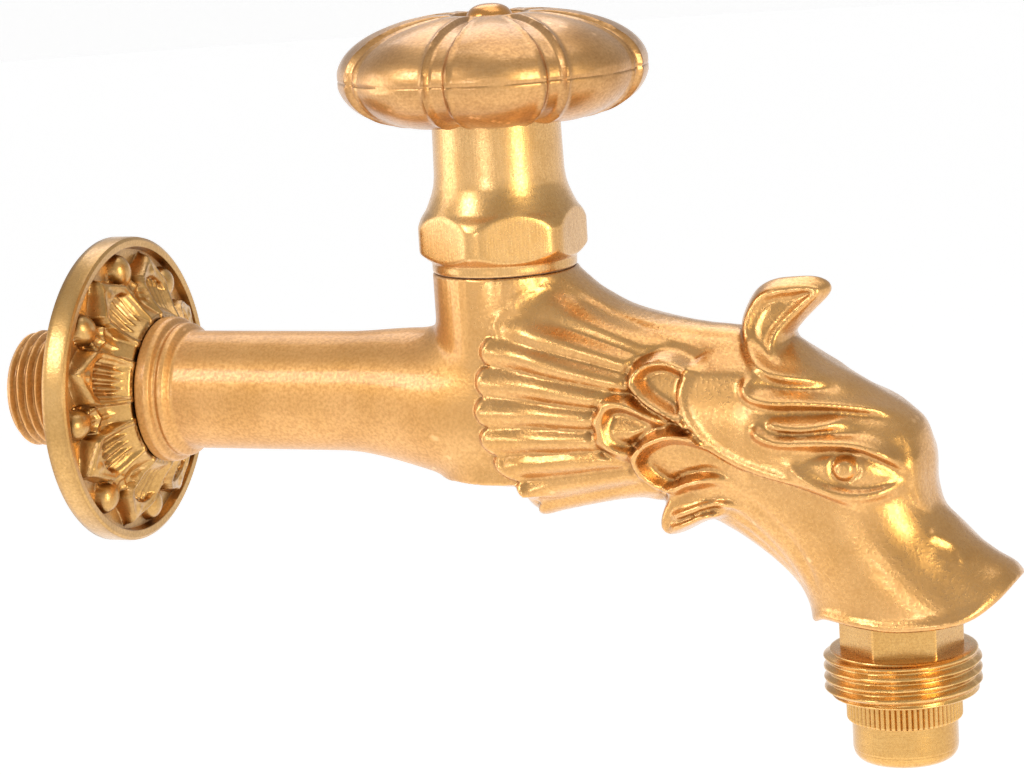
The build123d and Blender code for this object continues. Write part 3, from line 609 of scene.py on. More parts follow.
def casting_net():
    """Body from the belly to the nose, as one sculpted surface that is open towards the shank."""
    margin = 3 * NET_STEP
    low = np.array([BELLY_START, -NET_HALF_WIDTH, body_low[2] - margin - 1])
    high = np.array([body_high[0] + margin, NET_HALF_WIDTH, body_top + margin])
    counts = np.ceil((high - low) / NET_STEP).astype(int) + 1
    xs, ys, zs = (low[k] + NET_STEP * np.arange(counts[k]) for k in range(3))
    x2, z2 = np.meshgrid(xs, zs, indexing="ij")

    head_width = np.interp(x2, *zip(*HEAD_HALF_WIDTH))
    neck, neck_depth = swollen(NECK_OUTLINE, head_width, HEAD_SWELL, x2, z2, HEAD_SOFTENING)
    crest_width = np.interp(z2, *zip(*CREST_HALF_WIDTH))
    crest_width = crest_width * (CREST_TIP_SHARE + (1 - CREST_TIP_SHARE) * smooth_step(*CREST_TIP_RUN, x2))
    crest, crest_depth = swollen(CREST_OUTLINE, crest_width, CREST_SWELL, x2, z2, CREST_SOFTENING)
    fin_width = np.interp(x2, *zip(*FIN_HALF_WIDTH))
    fin, _ = swollen(FIN[0], fin_width, FIN_SWELL, x2, z2, FIN_SOFTENING)
    bridge_width = np.interp(z2, *zip(*BRIDGE_HALF_WIDTH))
    bridge, _ = swollen(BRIDGE_OUTLINE, bridge_width, BRIDGE_SWELL, x2, z2, BRIDGE_SOFTENING)

    along_back = smooth_step(*BACK_START, x2) * smooth_step(*BACK_END, x2) * smooth_step(*BACK_LEVEL, z2)
    relief = flank_relief(x2, z2)
    relief -= roll(neck_depth, *BACK_LINE) * along_back
    crest_rim = roll(crest_depth, *CREST_RIM) - smooth_step(*CREST_HOLLOW_RUN, crest_depth) * CREST_HOLLOW
    lip = curve(LIP_LINE)
    lip_level = np.interp(x2, lip[:, 0], lip[:, 1]) - z2

    x, y, z = xs[:, None, None], ys[None, :, None], zs[None, None, :]
    side = np.abs(y)

    def cushion(squared):
        squared = squared[:, None, :]
        near = (squared - y ** 2) / (2 * np.sqrt(np.abs(squared) + y ** 2 + CUSHION_SOFT))
        flank = np.sqrt(np.clip(squared, 0, None)) - side
        return np.where(squared > CUSHION_CORE, np.maximum(near, np.minimum(flank, CUSHION_REACH)), near)

    from_valve = np.hypot(x - valve_x, y)
    shank = np.minimum(SHANK_RADIUS - np.hypot(y, z), valve_x + CHAMBER_RADIUS / 2 - x)
    chamber = np.minimum(CHAMBER_RADIUS - from_valve, z + BELLY_RADIUS)
    swell = smooth_step(BELLY_START, valve_x, x)
    belly_radius = SHANK_RADIUS + swell * (BELLY_RADIUS - SHANK_RADIUS)
    belly = belly_radius - np.hypot(y, z + BELLY_DROP * swell)
    belly_end = BELLY_RADIUS - np.sqrt((x - valve_x) ** 2 + y ** 2 + (z + BELLY_DROP) ** 2)
    belly = np.where(x > valve_x, belly_end, belly)
    belly_fillet = BELLY_FILLET_LEAST + BELLY_FILLET * smooth_step(*BELLY_FILLET_RUN, x)
    base = blend(blend(shank, chamber, CHAMBER_FILLET), belly, belly_fillet)

    form = blend(cushion(neck), base, NECK_FILLET)
    form = blend(form, cushion(fin), FIN_FILLET)
    form = blend(form, cushion(bridge), BRIDGE_FILLET)
    form = form + relief[:, None, :] * smooth_step(*RELIEF_START, side)
    horn = cushion(crest) + crest_rim[:, None, :] * smooth_step(*CREST_RIM_START, side)
    form = blend(form, horn, CREST_FILLET)
    below = body_top - z
    shoulder = CHAMBER_RADIUS + SHOULDER_SLOPE * below + SHOULDER_CURVE * below ** 2 - from_valve
    form = cut(form, -shoulder - FAR_AWAY * smooth_step(*SHOULDER_END, x), SHOULDER_FILLET)
    form = cut(form, lip_level[:, None, :], LIP_EASE)
    form = np.minimum(form, below)
    mouth = np.minimum(MOUTH_RECESS - np.hypot(x - hose_x, y), mouth_ceiling - z)
    form = cut(form, mouth, MOUTH_EASE)
    room = np.minimum(CHAMBER_BORE - from_valve, z - CHAMBER_FLOOR)
    form = np.minimum(form, -room)
    return surface_net(form.astype(np.float32), low, NET_STEP)


# Threaded inlet: radius, end of the thread, chamfer, and depth of the undercut behind the rosette
INLET_RADIUS = 10.48
INLET_THREAD_END = -1.5
INLET_CHAMFER = 1.2
INLET_UNDERCUT = 1.3
# The shank is a hair thinner than the casting, whose start overlaps it
SHANK_SINK = 0.005


def inlet_end():
    """Threaded stub, the undercut behind the rosette, the moulded collar and the plain shank."""
    start, stop, outer = body_low[0], INLET_THREAD_END, INLET_RADIUS
    groove = outer - INLET_UNDERCUT
    plain = SHANK_RADIUS - SHANK_SINK
    plug = BELLY_START + 2 * NET_STEP
    points = (
        (BORE_RADIUS, start), (outer - INLET_CHAMFER, start), (outer, start + INLET_CHAMFER), (outer, stop),
        (groove, stop + 0.2), (groove, -0.1), (SHANK_RADIUS - 0.1, 0.1), (SHANK_RADIUS - 0.1, 10.3),
        (13, 10.35), (13, 12.2), (12.7, 12.9), (11.9, 13.3), (11.75, 13.7), (12, 14.3), (11.8, 15.1),
        (11.1, 15.7), (10.7, 15.95), (plain, 16.4), (plain, plug), (0.05, plug), (0.05, plug - 1),
        (BORE_RADIUS, plug - 1),
    )
    outline = thinned(rounded(points, spacing=0.18, rounds=2), reach=outer - 1.4, beyond=17)

    def shape(turn, radius, height):
        threaded = smooth_step(outer - 2, outer - 1, radius) * (height < stop + 0.5)
        return radius - threaded * screw_thread(turn, height, start + 0.3, stop, run_out=0.9), height

    return along_shank(ring_grid(outline, segments=150, shape=shape))


# Rosette

LEAF_COUNT = 8
# The rosette is loose on the shank; in the photograph it stands a little turned
ROSETTE_TURN = math.radians(16.5)
ROSETTE_HOLE = 10.8
# Leaf outline and its ribbed panel: distance from the centre, half width
LEAF_EDGE = ((9, 3.2), (13, 3.9), (16, 4.7), (18.6, 5.2), (20.2, 4.9), (21.4, 3.6), (22.8, 1.9),
             (24.9, 0))
LEAF_PANEL = ((9, 2.4), (13, 3), (16, 3.7), (18.4, 3.9), (19.8, 3), (20.5, 1.4), (20.6, 0))
TONGUE_EDGE = ((9, 1.8), (13, 2.4), (16, 3), (18.4, 3), (20.2, 2.2), (21.4, 0))
# Height above the wall by distance from the centre
FIELD_RISE = ((10.8, 10.1), (13.6, 9.9), (15.5, 7), (18.5, 4), (20.5, 2.9), (25.2, 2.9), (25.6, 4.4),
              (26.8, 4.5), (27.4, 4.1))
BLADE_RISE = ((10.8, 10.25), (13.2, 10.1), (15.5, 8.3), (18.5, 6.7), (20.8, 6.1), (22.6, 5.3), (24.9, 3.4))
TONGUE_RISE = ((10.8, 10.1), (13.6, 9.3), (16, 7), (18.5, 5.6), (21.4, 4.4))
# Bud between two leaves: place, half length, half width, foot, rise, and the bead of the cup round it
BUD_PLACE, BUD_LENGTH, BUD_WIDTH = 21.6, 3.3, 2.75
BUD_FOOT, BUD_RISE = 3, 2.8
CUP_BEAD = (0.35, 1.16, 0.1)
# Tongue behind a bud: depth of its hollow, height of its vein
TONGUE_HOLLOW, TONGUE_VEIN = 0.55, 0.35
# Leaf: bead along its edge, keel at its tip, depth of its panel, height of the panel's ribs, and their pitch
# as a share of the leaf's half width
BLADE_BEAD = (0.35, 0.7, 0.5)
BLADE_KEEL = 0.5
PANEL_DEPTH, PANEL_RIB, PANEL_RIB_PITCH = 0.85, 0.4, 0.34
# Plain rim, and the number of rings of points on the relief and on the rim
RIM_START = 25.0
RELIEF_RINGS, RIM_RINGS = 96, 22


def petal_depth(half, along, across):
    """Distance inside a petal that is drawn by one half of its outline."""
    line = [*half, *[(place, -width) for place, width in half[-2::-1]]]
    return depth_inside(np.array(line), along, across)


def rosette_height(radius, turn):
    """Height of the rosette's face above the wall."""
    pitch = 2 * math.pi / LEAF_COUNT
    turn = turn + ROSETTE_TURN
    off_leaf = (turn / pitch - np.round(turn / pitch)) * pitch
    half = turn / pitch - 0.5
    off_bud = (half - np.round(half)) * pitch
    field = np.interp(radius, *zip(*FIELD_RISE))

    along, across = radius * np.cos(off_bud), radius * np.sin(off_bud)
    depth = petal_depth(TONGUE_EDGE, along, across)
    tongue = np.interp(along, *zip(*TONGUE_RISE)) - TONGUE_HOLLOW * smooth_step(0.4, 1.6, depth)
    tongue += TONGUE_VEIN * bell(across, 0.45) * smooth_step(0.5, 1.2, depth)
    height = np.maximum(field, field + (tongue - field) * smooth_step(-0.1, 0.6, depth))
    bud = 1 - ((along - BUD_PLACE) / BUD_LENGTH) ** 2 - (across / BUD_WIDTH) ** 2
    cup = roll(np.sqrt(np.clip(1 - bud, 0, None)), *CUP_BEAD) * smooth_step(23.5, 20.5, along)
    dome = np.where(bud > 0, BUD_FOOT + BUD_RISE * np.sqrt(np.clip(bud, 0, 1)), 0)
    height = np.maximum(height + cup, dome)

    along, across = radius * np.cos(off_leaf), radius * np.sin(off_leaf)
    depth = petal_depth(LEAF_EDGE, along, across)
    panel = petal_depth(LEAF_PANEL, along, across)
    blade = np.interp(along, *zip(*BLADE_RISE)) + roll(depth, *BLADE_BEAD)
    blade += BLADE_KEEL * bell(across, 0.8) * smooth_step(20.6, 21.6, along)
    half_leaf = np.maximum(np.interp(along, *zip(*LEAF_EDGE)), 0.5)
    ribs = np.cos(2 * math.pi * across / (PANEL_RIB_PITCH * half_leaf))
    sunk = PANEL_DEPTH - PANEL_RIB * ribs * smooth_step(0.3, 1, panel)
    blade -= smooth_step(0, 0.7, panel) * sunk * smooth_step(12.6, 14.6, along)
    raised = np.maximum(height, field + (blade - field) * smooth_step(-0.15, 0.5, depth))
    height = np.where(depth > -0.15, raised, height)
    return np.minimum(height, rosette_high[0] - 0.02)


def wall_rosette():
    """Cover plate: a relief turned round the shank, with a plain edge and back."""
    outer = rosette_high[1]
    relief = np.linspace(ROSETTE_HOLE, RIM_START, RELIEF_RINGS)
    face = np.concatenate([relief, np.linspace(RIM_START + 0.06, outer - 0.12, RIM_RINGS)])
    edge_and_back = ((outer, 3.6), (outer, 2.4), (outer, 1.2), (outer, 0.25), (outer - 0.2, 0), (20, 0),
                     (ROSETTE_HOLE, 0), (ROSETTE_HOLE, 3), (ROSETTE_HOLE, 6))
    outline = np.concatenate([np.stack([face, np.zeros(len(face))], axis=-1), edge_and_back])
    on_face = np.arange(len(outline)) < len(face)

    def shape(turn, radius, height):
        return radius, np.where(on_face[None, :], rosette_height(radius, turn), height)

    return along_shank(ring_grid(outline, segments=560, shape=shape))


# Turned pieces

HEX_COUNT = 6
# Hexagons: width across flats, and how crisply their corners meet the turned outline
BONNET_FLATS, BONNET_CRISPNESS = 26.3, 6
UNION_FLATS, UNION_CRISPNESS = 18, 7
UNION_TURN = math.radians(-12.4)
# Room for the jumper plate under the bonnet
SKIRT_BORE = 7.7
SKIRT_DEPTH = 2.55
# How far the bonnet's foot closes over the joint ring
JOINT_COVER = 0.72


def hexagon_reach(turn, across_flats, first_corner):
    """Radius of a hexagon in each direction."""
    pitch = 2 * math.pi / HEX_COUNT
    off = (turn - first_corner) / pitch
    off = (off - np.floor(off) - 0.5) * pitch
    return across_flats / 2 / np.cos(off)


def lesser(one, two, crispness):
    """Lesser of two radii, with a rounded change from one to the other."""
    return -np.log(np.exp(-crispness * one) + np.exp(-crispness * two)) / crispness


def bonnet():
    """Turned headpiece with a hexagon whose flats end in arches."""
    base, low, top = bonnet_base, bonnet_low[2], bonnet_high[2]
    foot, skirt = base - JOINT_COVER, low + SKIRT_DEPTH
    spigot, bore, stem, packing = 9.5, 6.05, 4.05, 6.55
    points = (
        (bore, skirt), (SKIRT_BORE, skirt), (SKIRT_BORE, low), (spigot, low), (spigot, base), (12.12, base),
        (12.12, foot), (12.3, foot), (12.4, foot + 0.15), (12.4, base + 1.1), (12.9, base + 1.35),
        (14.5, base + 2.7), (14.5, base + 7.2), (13.9, base + 8.5), (12.95, base + 9.8), (12.3, base + 11.2),
        (11.75, base + 12.6), (11.35, base + 14), (11.15, base + 15.6), (11.08, base + 18.2),
        (11, base + 22.3), (11, top), (packing, top), (packing, top - 9.2), (stem, top - 9.2),
        (stem, top - 12.2), (bore, top - 12.2),
    )
    outline = thinned(rounded(points, spacing=0.25, rounds=3), reach=10.5)

    def shape(turn, radius, height):
        flats = hexagon_reach(turn, BONNET_FLATS, math.pi / 2)
        inside = smooth_step(11.9, 12.3, radius) * (height > base + 1.15)
        return radius + (lesser(radius, flats, BONNET_CRISPNESS) - radius) * inside, height

    return upright_at(ring_grid(outline, segments=288, shape=shape), valve_x)


WHEEL_EQUATOR = 55.4
LOBE_COUNT = 8
# Knob: radii where the bows of its top and underside end, and the ceiling of its hollow
HUB_RADIUS = 6.6
HOLLOW_RADIUS, HOLLOW_LEVEL = 14, 51.3
# Between the lobes: half width of the groove by radius, its depth and the bead beside it
GROOVE_HALF_WIDTH = ((6, 0.75), (10, 1), (18, 1.45))
GROOVE_AT_RIM = 1.5
GROOVE_DEPTH = 0.75
GROOVE_BEAD = (0.32, 0.55, 0.5)
# Swelling of a lobe and the level it starts from, then depth and half width of the seam round the rim
PILLOW, PILLOW_LEVEL = 0.45, -0.3
SEAM_DEPTH, SEAM_WIDTH = 0.24, 0.22


def handwheel():
    """Eight-lobed knob with flat-bottomed grooves between the lobes and a seam round its rim."""
    radius, mid, low, top = wheel_high[1], WHEEL_EQUATOR, wheel_low[2], wheel_high[2]
    rise, fall = top - mid, mid - low
    points = [(6.25, top - 2.7), (6.3, top - 0.35), (HUB_RADIUS, top)]
    for bow in np.linspace(0.06, 0.98, 18) * math.pi / 2:
        ring = HUB_RADIUS + (radius - HUB_RADIUS) * math.sin(bow)
        points.append((ring, mid + rise * math.cos(bow) ** 0.95))
    for bow in np.linspace(0, 0.97, 15) * math.pi / 2:
        ring = HOLLOW_RADIUS + (radius - HOLLOW_RADIUS) * math.cos(bow) ** 0.92
        points.append((ring, mid - 0.05 - fall * math.sin(bow) ** 1.06))
    points += [(13.6, low), (12.7, low + 0.25), (12.6, HOLLOW_LEVEL), (4.2, HOLLOW_LEVEL + 0.1),
               (4.2, top - 2.7)]
    outline = thinned(rounded(points, spacing=0.32, rounds=3), reach=12.8)

    def shape(turn, ring, height):
        pitch = 2 * math.pi / LOBE_COUNT
        off = (turn / pitch - np.round(turn / pitch)) * pitch
        half_groove = np.interp(ring, *zip(*GROOVE_HALF_WIDTH, (radius, GROOVE_AT_RIM)))
        beside = np.abs(ring * np.sin(off)) - half_groove
        skin = smooth_step(6.4, 8.6, ring) * smooth_step(12.9, 15, np.where(height > mid - 2, 99, ring))
        skin = skin * np.where((height < mid - 3) & (ring < 13.2), 0, 1)
        pillow = (1 - np.cos(off * LOBE_COUNT)) / 2
        swell = PILLOW * pillow + PILLOW_LEVEL + roll(beside, *GROOVE_BEAD)
        swell -= GROOVE_DEPTH * smooth_step(0.5, -0.35, beside)
        seam = bell(height - mid, SEAM_WIDTH) * SEAM_DEPTH * smooth_step(radius - 3, radius - 1, ring)
        slope = np.clip((height - mid) / np.where(height > mid, rise, fall), -1, 1)
        outward = np.sqrt(np.clip(1 - slope ** 2, 0, 1))
        grown = ring + skin * (swell * (0.25 + 0.75 * outward) - seam)
        lifted = height + skin * swell * slope * 0.8
        return np.minimum(grown, radius), np.clip(lifted, low, top)

    return upright_at(ring_grid(outline, segments=448, shape=shape), valve_x)


def handwheel_screw():
    """Domed screw head over its shank."""
    low, seat, top = screw_low[2], disc_high[2], screw_high[2] - 0.35
    edge, dome, spring = 4.3, 4, seat + 0.6
    points = [(0.02, low), (2, low), (2, seat), (edge, seat), (edge, seat + 0.5)]
    for bow in np.linspace(0.12, 0.98, 12) * math.pi / 2:
        points.append((dome * math.cos(bow) ** 0.8, spring + (top - spring) * math.sin(bow) ** 0.9))
    points.append((0.02, top))
    return upright_at(ring_grid(rounded(points, spacing=0.2, rounds=1), segments=72), valve_x)


def screw_washer():
    """Rounded ring under the screw."""
    low, high = disc_low[2], disc_high[2]
    points = ((2.1, low), (5.2, low), (5.2, high - 0.1), (4.9, high), (2.1, high))
    return upright_at(ring_grid(rounded(points, spacing=0.12, rounds=2), segments=96), valve_x)


# Height of the nozzle below the union, its knurled band and the knurls
NOZZLE_HEIGHT = 11.3
BAND_HEIGHT = 4.3
KNURL_COUNT = 64
KNURL_DEPTH = 0.42
# Height of the union's hexagon above its threaded ring
UNION_HEXAGON = 7.9


def hose_union():
    """Hexagon and chamfered hose thread, with the spigot in the mouth."""
    top, bottom, high = seal_low[2], nozzle_low[2] + NOZZLE_HEIGHT, union_high[2]
    ring_top = top - UNION_HEXAGON
    bore, socket, spigot, corner = 5.5, 7.6, 8, 10.6
    points = (
        (bore, high), (bore, bottom + 8.3), (socket, bottom + 8.3), (socket, bottom), (11.9, bottom),
        (12.5, bottom + 0.35), (13.2, bottom + 1.2), (13.2, ring_top - 1), (12.4, ring_top - 0.1),
        (11.6, ring_top), (corner, ring_top), (corner, top - 0.2), (9.6, top), (spigot, top), (spigot, high),
    )
    outline = thinned(rounded(points, spacing=0.15, rounds=2), reach=8.2)

    def shape(turn, radius, height):
        thread = smooth_step(11.8, 12.7, radius) * (height < ring_top + 0.05)
        flats = hexagon_reach(turn, UNION_FLATS, UNION_TURN - math.pi / 2)
        nut = smooth_step(8.1, 8.9, radius) * (height > ring_top + 0.02)
        grooved = radius - thread * screw_thread(turn, height, bottom - 0.2, ring_top + 0.3, run_out=0.7)
        return grooved + (lesser(radius, flats, UNION_CRISPNESS) - radius) * nut, height

    return upright_at(ring_grid(outline, segments=240, shape=shape), hose_x)


def outlet_nozzle():
    """Nozzle with a knurled band, a rolled lip and a fine line above it."""
    low, top, high = nozzle_low[2], nozzle_low[2] + NOZZLE_HEIGHT, nozzle_high[2]
    band = top - BAND_HEIGHT
    points = (
        (6, low + 1), (6.3, low + 0.25), (6.9, low), (7.6, low + 0.12), (8.2, low + 0.55),
        (8.6, low + 1.15), (8.8, low + 1.9), (8.72, low + 2), (8.85, low + 2.12), (8.85, band - 0.15),
        (8.95, band), (9.5, band), (9.7, band + 0.25), (9.7, top - 0.3), (9.45, top), (7.5, top),
        (7.5, high), (6.8, high), (6.8, top), (6, top),
    )
    outline = thinned(rounded(points, spacing=0.16, rounds=1), reach=9.2)

    def shape(turn, radius, height):
        ribs = np.abs(np.sin(turn * KNURL_COUNT / 2)) ** 0.7
        return radius - smooth_step(9.2, 9.5, radius) * KNURL_DEPTH * (1 - ribs), height

    return upright_at(ring_grid(outline, segments=448, shape=shape), hose_x)


# Materials


BLACK, WHITE = (0.0, 0.0, 0.0), (1.0, 1.0, 1.0)
# In millimetres: size of the colour patches in brass, reach of the painted shade in recesses, height of the
# grain
PATCH_SIZE = 9.0
PAINTED_SHADE_REACH = 2.2
BRASS_GRAIN, MATTE_GRAIN = 0.12, 0.1
MATTE_BUMP = 0.3
# How much rougher and smoother the grain makes brass, and how worn edges gain in colour
ROUGHER, SMOOTHER = 0.1, 0.07
WORN_GAIN, WORN_LIFT = 1.12, 0.04
FLECK = (0.80, 0.76, 0.70)
STREAK = (0.84, 0.80, 0.74)
# Brown of the painted shade that darkens recesses and hollows in brass
PAINTED_SHADE_TINT = (0.34, 0.25, 0.13)
COAT, COAT_ROUGHNESS = 0.55, 0.17


def material(name):
    """New material, its node tree and the inputs of its shader."""
    made = bpy.data.materials.new(name)
    made.use_nodes = True
    return made, made.node_tree, made.node_tree.nodes["Principled BSDF"].inputs


def feed(tree, socket, value):
    """Socket set to a number or a colour, or linked to another node."""
    if isinstance(value, (int, float)):
        socket.default_value = value
    elif isinstance(value, tuple):
        socket.default_value = (*value, 1)
    else:
        tree.links.new(value, socket)


def noise(tree, place, size, detail):
    """Noise over object space; size is the grain in millimetres."""
    texture = tree.nodes.new("ShaderNodeTexNoise")
    feed(tree, texture.inputs["Scale"], 1 / (size * MM))
    feed(tree, texture.inputs["Detail"], detail)
    feed(tree, texture.inputs["Vector"], place)
    return texture.outputs["Fac"]


def ramp(tree, value, low, dark, high, light):
    """Colour that goes from dark to light between two values."""
    made = tree.nodes.new("ShaderNodeValToRGB")
    for element, place, colour in zip(made.color_ramp.elements, (low, high), (dark, light)):
        element.position = place
        element.color = (*colour, 1)
    feed(tree, made.inputs["Fac"], value)
    return made.outputs["Color"]


def mixed(tree, share, one, two, mode="MIX"):
    """Two colours mixed."""
    made = tree.nodes.new("ShaderNodeMix")
    made.data_type = "RGBA"
    made.blend_type = mode
    feed(tree, made.inputs["Factor"], share)
    feed(tree, made.inputs["A"], one)
    feed(tree, made.inputs["B"], two)
    return made.outputs["Result"]


def bumped(tree, inputs, value, strength, height):
    """Fine relief on the surface; height is in millimetres."""
    rise = tree.nodes.new("ShaderNodeBump")
    feed(tree, rise.inputs["Strength"], strength)
    feed(tree, rise.inputs["Distance"], height * MM)
    feed(tree, rise.inputs["Height"], value)
    feed(tree, inputs["Normal"], rise.outputs["Normal"])


def brass(name, light, deep, grain, bump, rough, lines=None, recess_shade=0.0, polish=0.0):
    """Brass with patches of colour, sandy grain, tool marks and painted shade in its recesses."""
    made, tree, inputs = material(name)
    place = tree.nodes.new("ShaderNodeTexCoord").outputs["Object"]
    speckle = noise(tree, place, grain, 5.0)
    colour = ramp(tree, noise(tree, place, PATCH_SIZE, 4.0), 0.32, deep, 0.66, light)
    colour = mixed(tree, 0.8, colour, ramp(tree, speckle, 0.36, FLECK, 0.62, WHITE), "MULTIPLY")
    pointiness = tree.nodes.new("ShaderNodeNewGeometry").outputs["Pointiness"]
    # Painted shade: hollows found by pointiness and closed-in places found by ambient occlusion darken the
    # base colour
    hollow = ramp(tree, pointiness, 0.40, BLACK, 0.49, WHITE)
    worn = ramp(tree, pointiness, 0.52, BLACK, 0.62, WHITE)
    occlusion = tree.nodes.new("ShaderNodeAmbientOcclusion")
    occlusion.samples = 6
    feed(tree, occlusion.inputs["Distance"], PAINTED_SHADE_REACH * MM)
    occluded_shade = ramp(tree, occlusion.outputs["AO"], 0.42, BLACK, 0.88, WHITE)
    # The recess value sets how much of this painted shade goes into the colour
    unshaded = mixed(tree, recess_shade, WHITE, mixed(tree, 1.0, hollow, occluded_shade, "MULTIPLY"))
    colour = mixed(tree, 1.0, colour, mixed(tree, unshaded, PAINTED_SHADE_TINT, WHITE), "MULTIPLY")
    colour = mixed(tree, worn, colour, tuple(min(1.0, c * WORN_GAIN + WORN_LIFT) for c in light))
    spread = ramp(tree, speckle, 0.3, (rough + ROUGHER,) * 3, 0.7, (rough - SMOOTHER,) * 3)
    if polish:
        # The beast and the chamber are rubbed smoother than the shank
        reach = tree.nodes.new("ShaderNodeSeparateXYZ")
        feed(tree, reach.inputs["Vector"], place)
        rubbed = tree.nodes.new("ShaderNodeMapRange")
        feed(tree, rubbed.inputs["From Min"], (valve_x - CHAMBER_RADIUS) * MM)
        feed(tree, rubbed.inputs["From Max"], valve_x * MM)
        feed(tree, rubbed.inputs["Value"], reach.outputs["X"])
        satin = mixed(tree, 1.0, spread, (polish, polish, polish), "SUBTRACT")
        spread = mixed(tree, rubbed.outputs["Result"], spread, satin)
    relief = speckle
    if lines is not None:
        stretch = tree.nodes.new("ShaderNodeMapping")
        stretch.inputs["Scale"].default_value = lines
        feed(tree, stretch.inputs["Vector"], place)
        strokes = noise(tree, stretch.outputs["Vector"], 1.0, 3.0)
        relief = mixed(tree, 0.7, speckle, strokes)
        colour = mixed(tree, 0.6, colour, ramp(tree, strokes, 0.35, STREAK, 0.65, WHITE), "MULTIPLY")
    bumped(tree, inputs, relief, bump, BRASS_GRAIN)
    feed(tree, inputs["Base Color"], colour)
    feed(tree, inputs["Metallic"], 1.0)
    feed(tree, inputs["Roughness"], spread)
    feed(tree, inputs["Coat Weight"], COAT)
    feed(tree, inputs["Coat Roughness"], COAT_ROUGHNESS)
    return made


def matte(name, light, deep, grain, rough, metallic=0.0):
    """Plain material with a fine grain."""
    made, tree, inputs = material(name)
    speckle = noise(tree, tree.nodes.new("ShaderNodeTexCoord").outputs["Object"], grain, 4.0)
    feed(tree, inputs["Base Color"], ramp(tree, speckle, 0.35, deep, 0.65, light))
    feed(tree, inputs["Roughness"], rough)
    feed(tree, inputs["Metallic"], metallic)
    bumped(tree, inputs, speckle, MATTE_BUMP, MATTE_GRAIN)
    return made


GOLD, AMBER = (0.80, 0.44, 0.155), (0.70, 0.365, 0.108)
# The recess value given to each brass is the strength of its painted shade in recesses
cast_brass = brass("cast_brass", GOLD, AMBER, 0.55, 0.4, 0.50, recess_shade=0.8, polish=0.2)
rosette_brass = brass("rosette_brass", (0.73, 0.43, 0.148), (0.59, 0.33, 0.095), 0.5, 0.3, 0.34, recess_shade=0.9)
wheel_brass = brass("wheel_brass", (0.76, 0.425, 0.165), (0.58, 0.30, 0.10), 0.5, 0.3, 0.36,
                    lines=(1.0, 1.0, 3.0), recess_shade=0.8)
turned_brass = brass("turned_brass", (0.85, 0.505, 0.165), (0.77, 0.42, 0.112), 0.4, 0.2, 0.27,
                     lines=(0.25, 0.25, 6.0), recess_shade=0.2)
drawn_brass = brass("drawn_brass", (0.84, 0.505, 0.20), (0.76, 0.43, 0.142), 0.4, 0.22, 0.30,
                    lines=(4.0, 4.0, 0.3), recess_shade=0.5)
screw_brass = brass("screw_brass", (0.80, 0.385, 0.105), (0.68, 0.29, 0.065), 0.35, 0.2, 0.26, recess_shade=0.6)
finishes = {
    "cast_brass": cast_brass,
    "rosette_brass": rosette_brass,
    "wheel_brass": wheel_brass,
    "turned_brass": turned_brass,
    "fibre": matte("fibre", (0.30, 0.17, 0.09), (0.20, 0.10, 0.05), 0.8, 0.8),
    "graphite": matte("graphite", (0.07, 0.07, 0.075), (0.03, 0.03, 0.03), 0.5, 0.6),
    "black_rubber": matte("black_rubber", (0.035, 0.035, 0.035), (0.02, 0.02, 0.02), 0.4, 0.65),
    "spring_steel": matte("spring_steel", (0.66, 0.66, 0.67), (0.52, 0.52, 0.53), 0.4, 0.3, 1.0),
}

# Pieces on their bodies

sculpted = (
    ("casting", casting_net(), cast_brass, "tap_body", "tap", "cast_brass", 60),
    ("inlet_stub", inlet_end(), cast_brass, "tap_body", "tap", "cast_brass", 38),
    ("rosette", wall_rosette(), rosette_brass, "wall_rosette", "tap", "rosette_brass", 40),
    ("headpiece", bonnet(), drawn_brass, "bonnet", "tap", "turned_brass", 30),
    ("knob", handwheel(), wheel_brass, "handwheel", "spindle", "wheel_brass", 40),
    ("knob_screw", handwheel_screw(), screw_brass, "handwheel_screw", "spindle", "turned_brass", 40),
    ("knob_ring", screw_washer(), screw_brass, "screw_washer", "spindle", "turned_brass", 40),
    ("hose_nipple", hose_union(), turned_brass, "hose_union", "tap", "turned_brass", 40),
    ("nozzle", outlet_nozzle(), turned_brass, "outlet_nozzle", "tap", "turned_brass", 40),
)
MOST_TRIANGLES = 190000
replaced = set()
for name, (verts, quads), finish, node, body, slot, angle in sculpted:
    piece = make_piece(name, verts, quads, finish, angle)
    if 2 * len(quads) > MOST_TRIANGLES:
        piece = lightened(piece, MOST_TRIANGLES / (2 * len(quads)))
    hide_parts(node)
    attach(piece, body)
    replaced.add(node)

slots = {entry["node"]: entry["material_slot"] for entry in frame["record"]["subparts"]}
for node, shown in frame["nodes"].items():
    if node not in replaced:
        shown.data.materials.clear()
        shown.data.materials.append(finishes[slots[node]])

# Stage, light and camera

FLOOR_CENTRE = 0.077
FLOOR_LEVEL = -0.60
# The floor ends in a raised rim, so that low views see white behind the tap too
FLOOR_RINGS = ((9.0, FLOOR_LEVEL), (9.6, 1.2))
FLOOR_SIDES = 64
# White that the floor adds where it is seen directly, in metal or through glass
FLOOR_GLOW = 0.5
FLOOR_COLOUR = (0.93, 0.93, 0.93)
FLOOR_ROUGHNESS = 0.9
WORLD_STRENGTH = 0.53

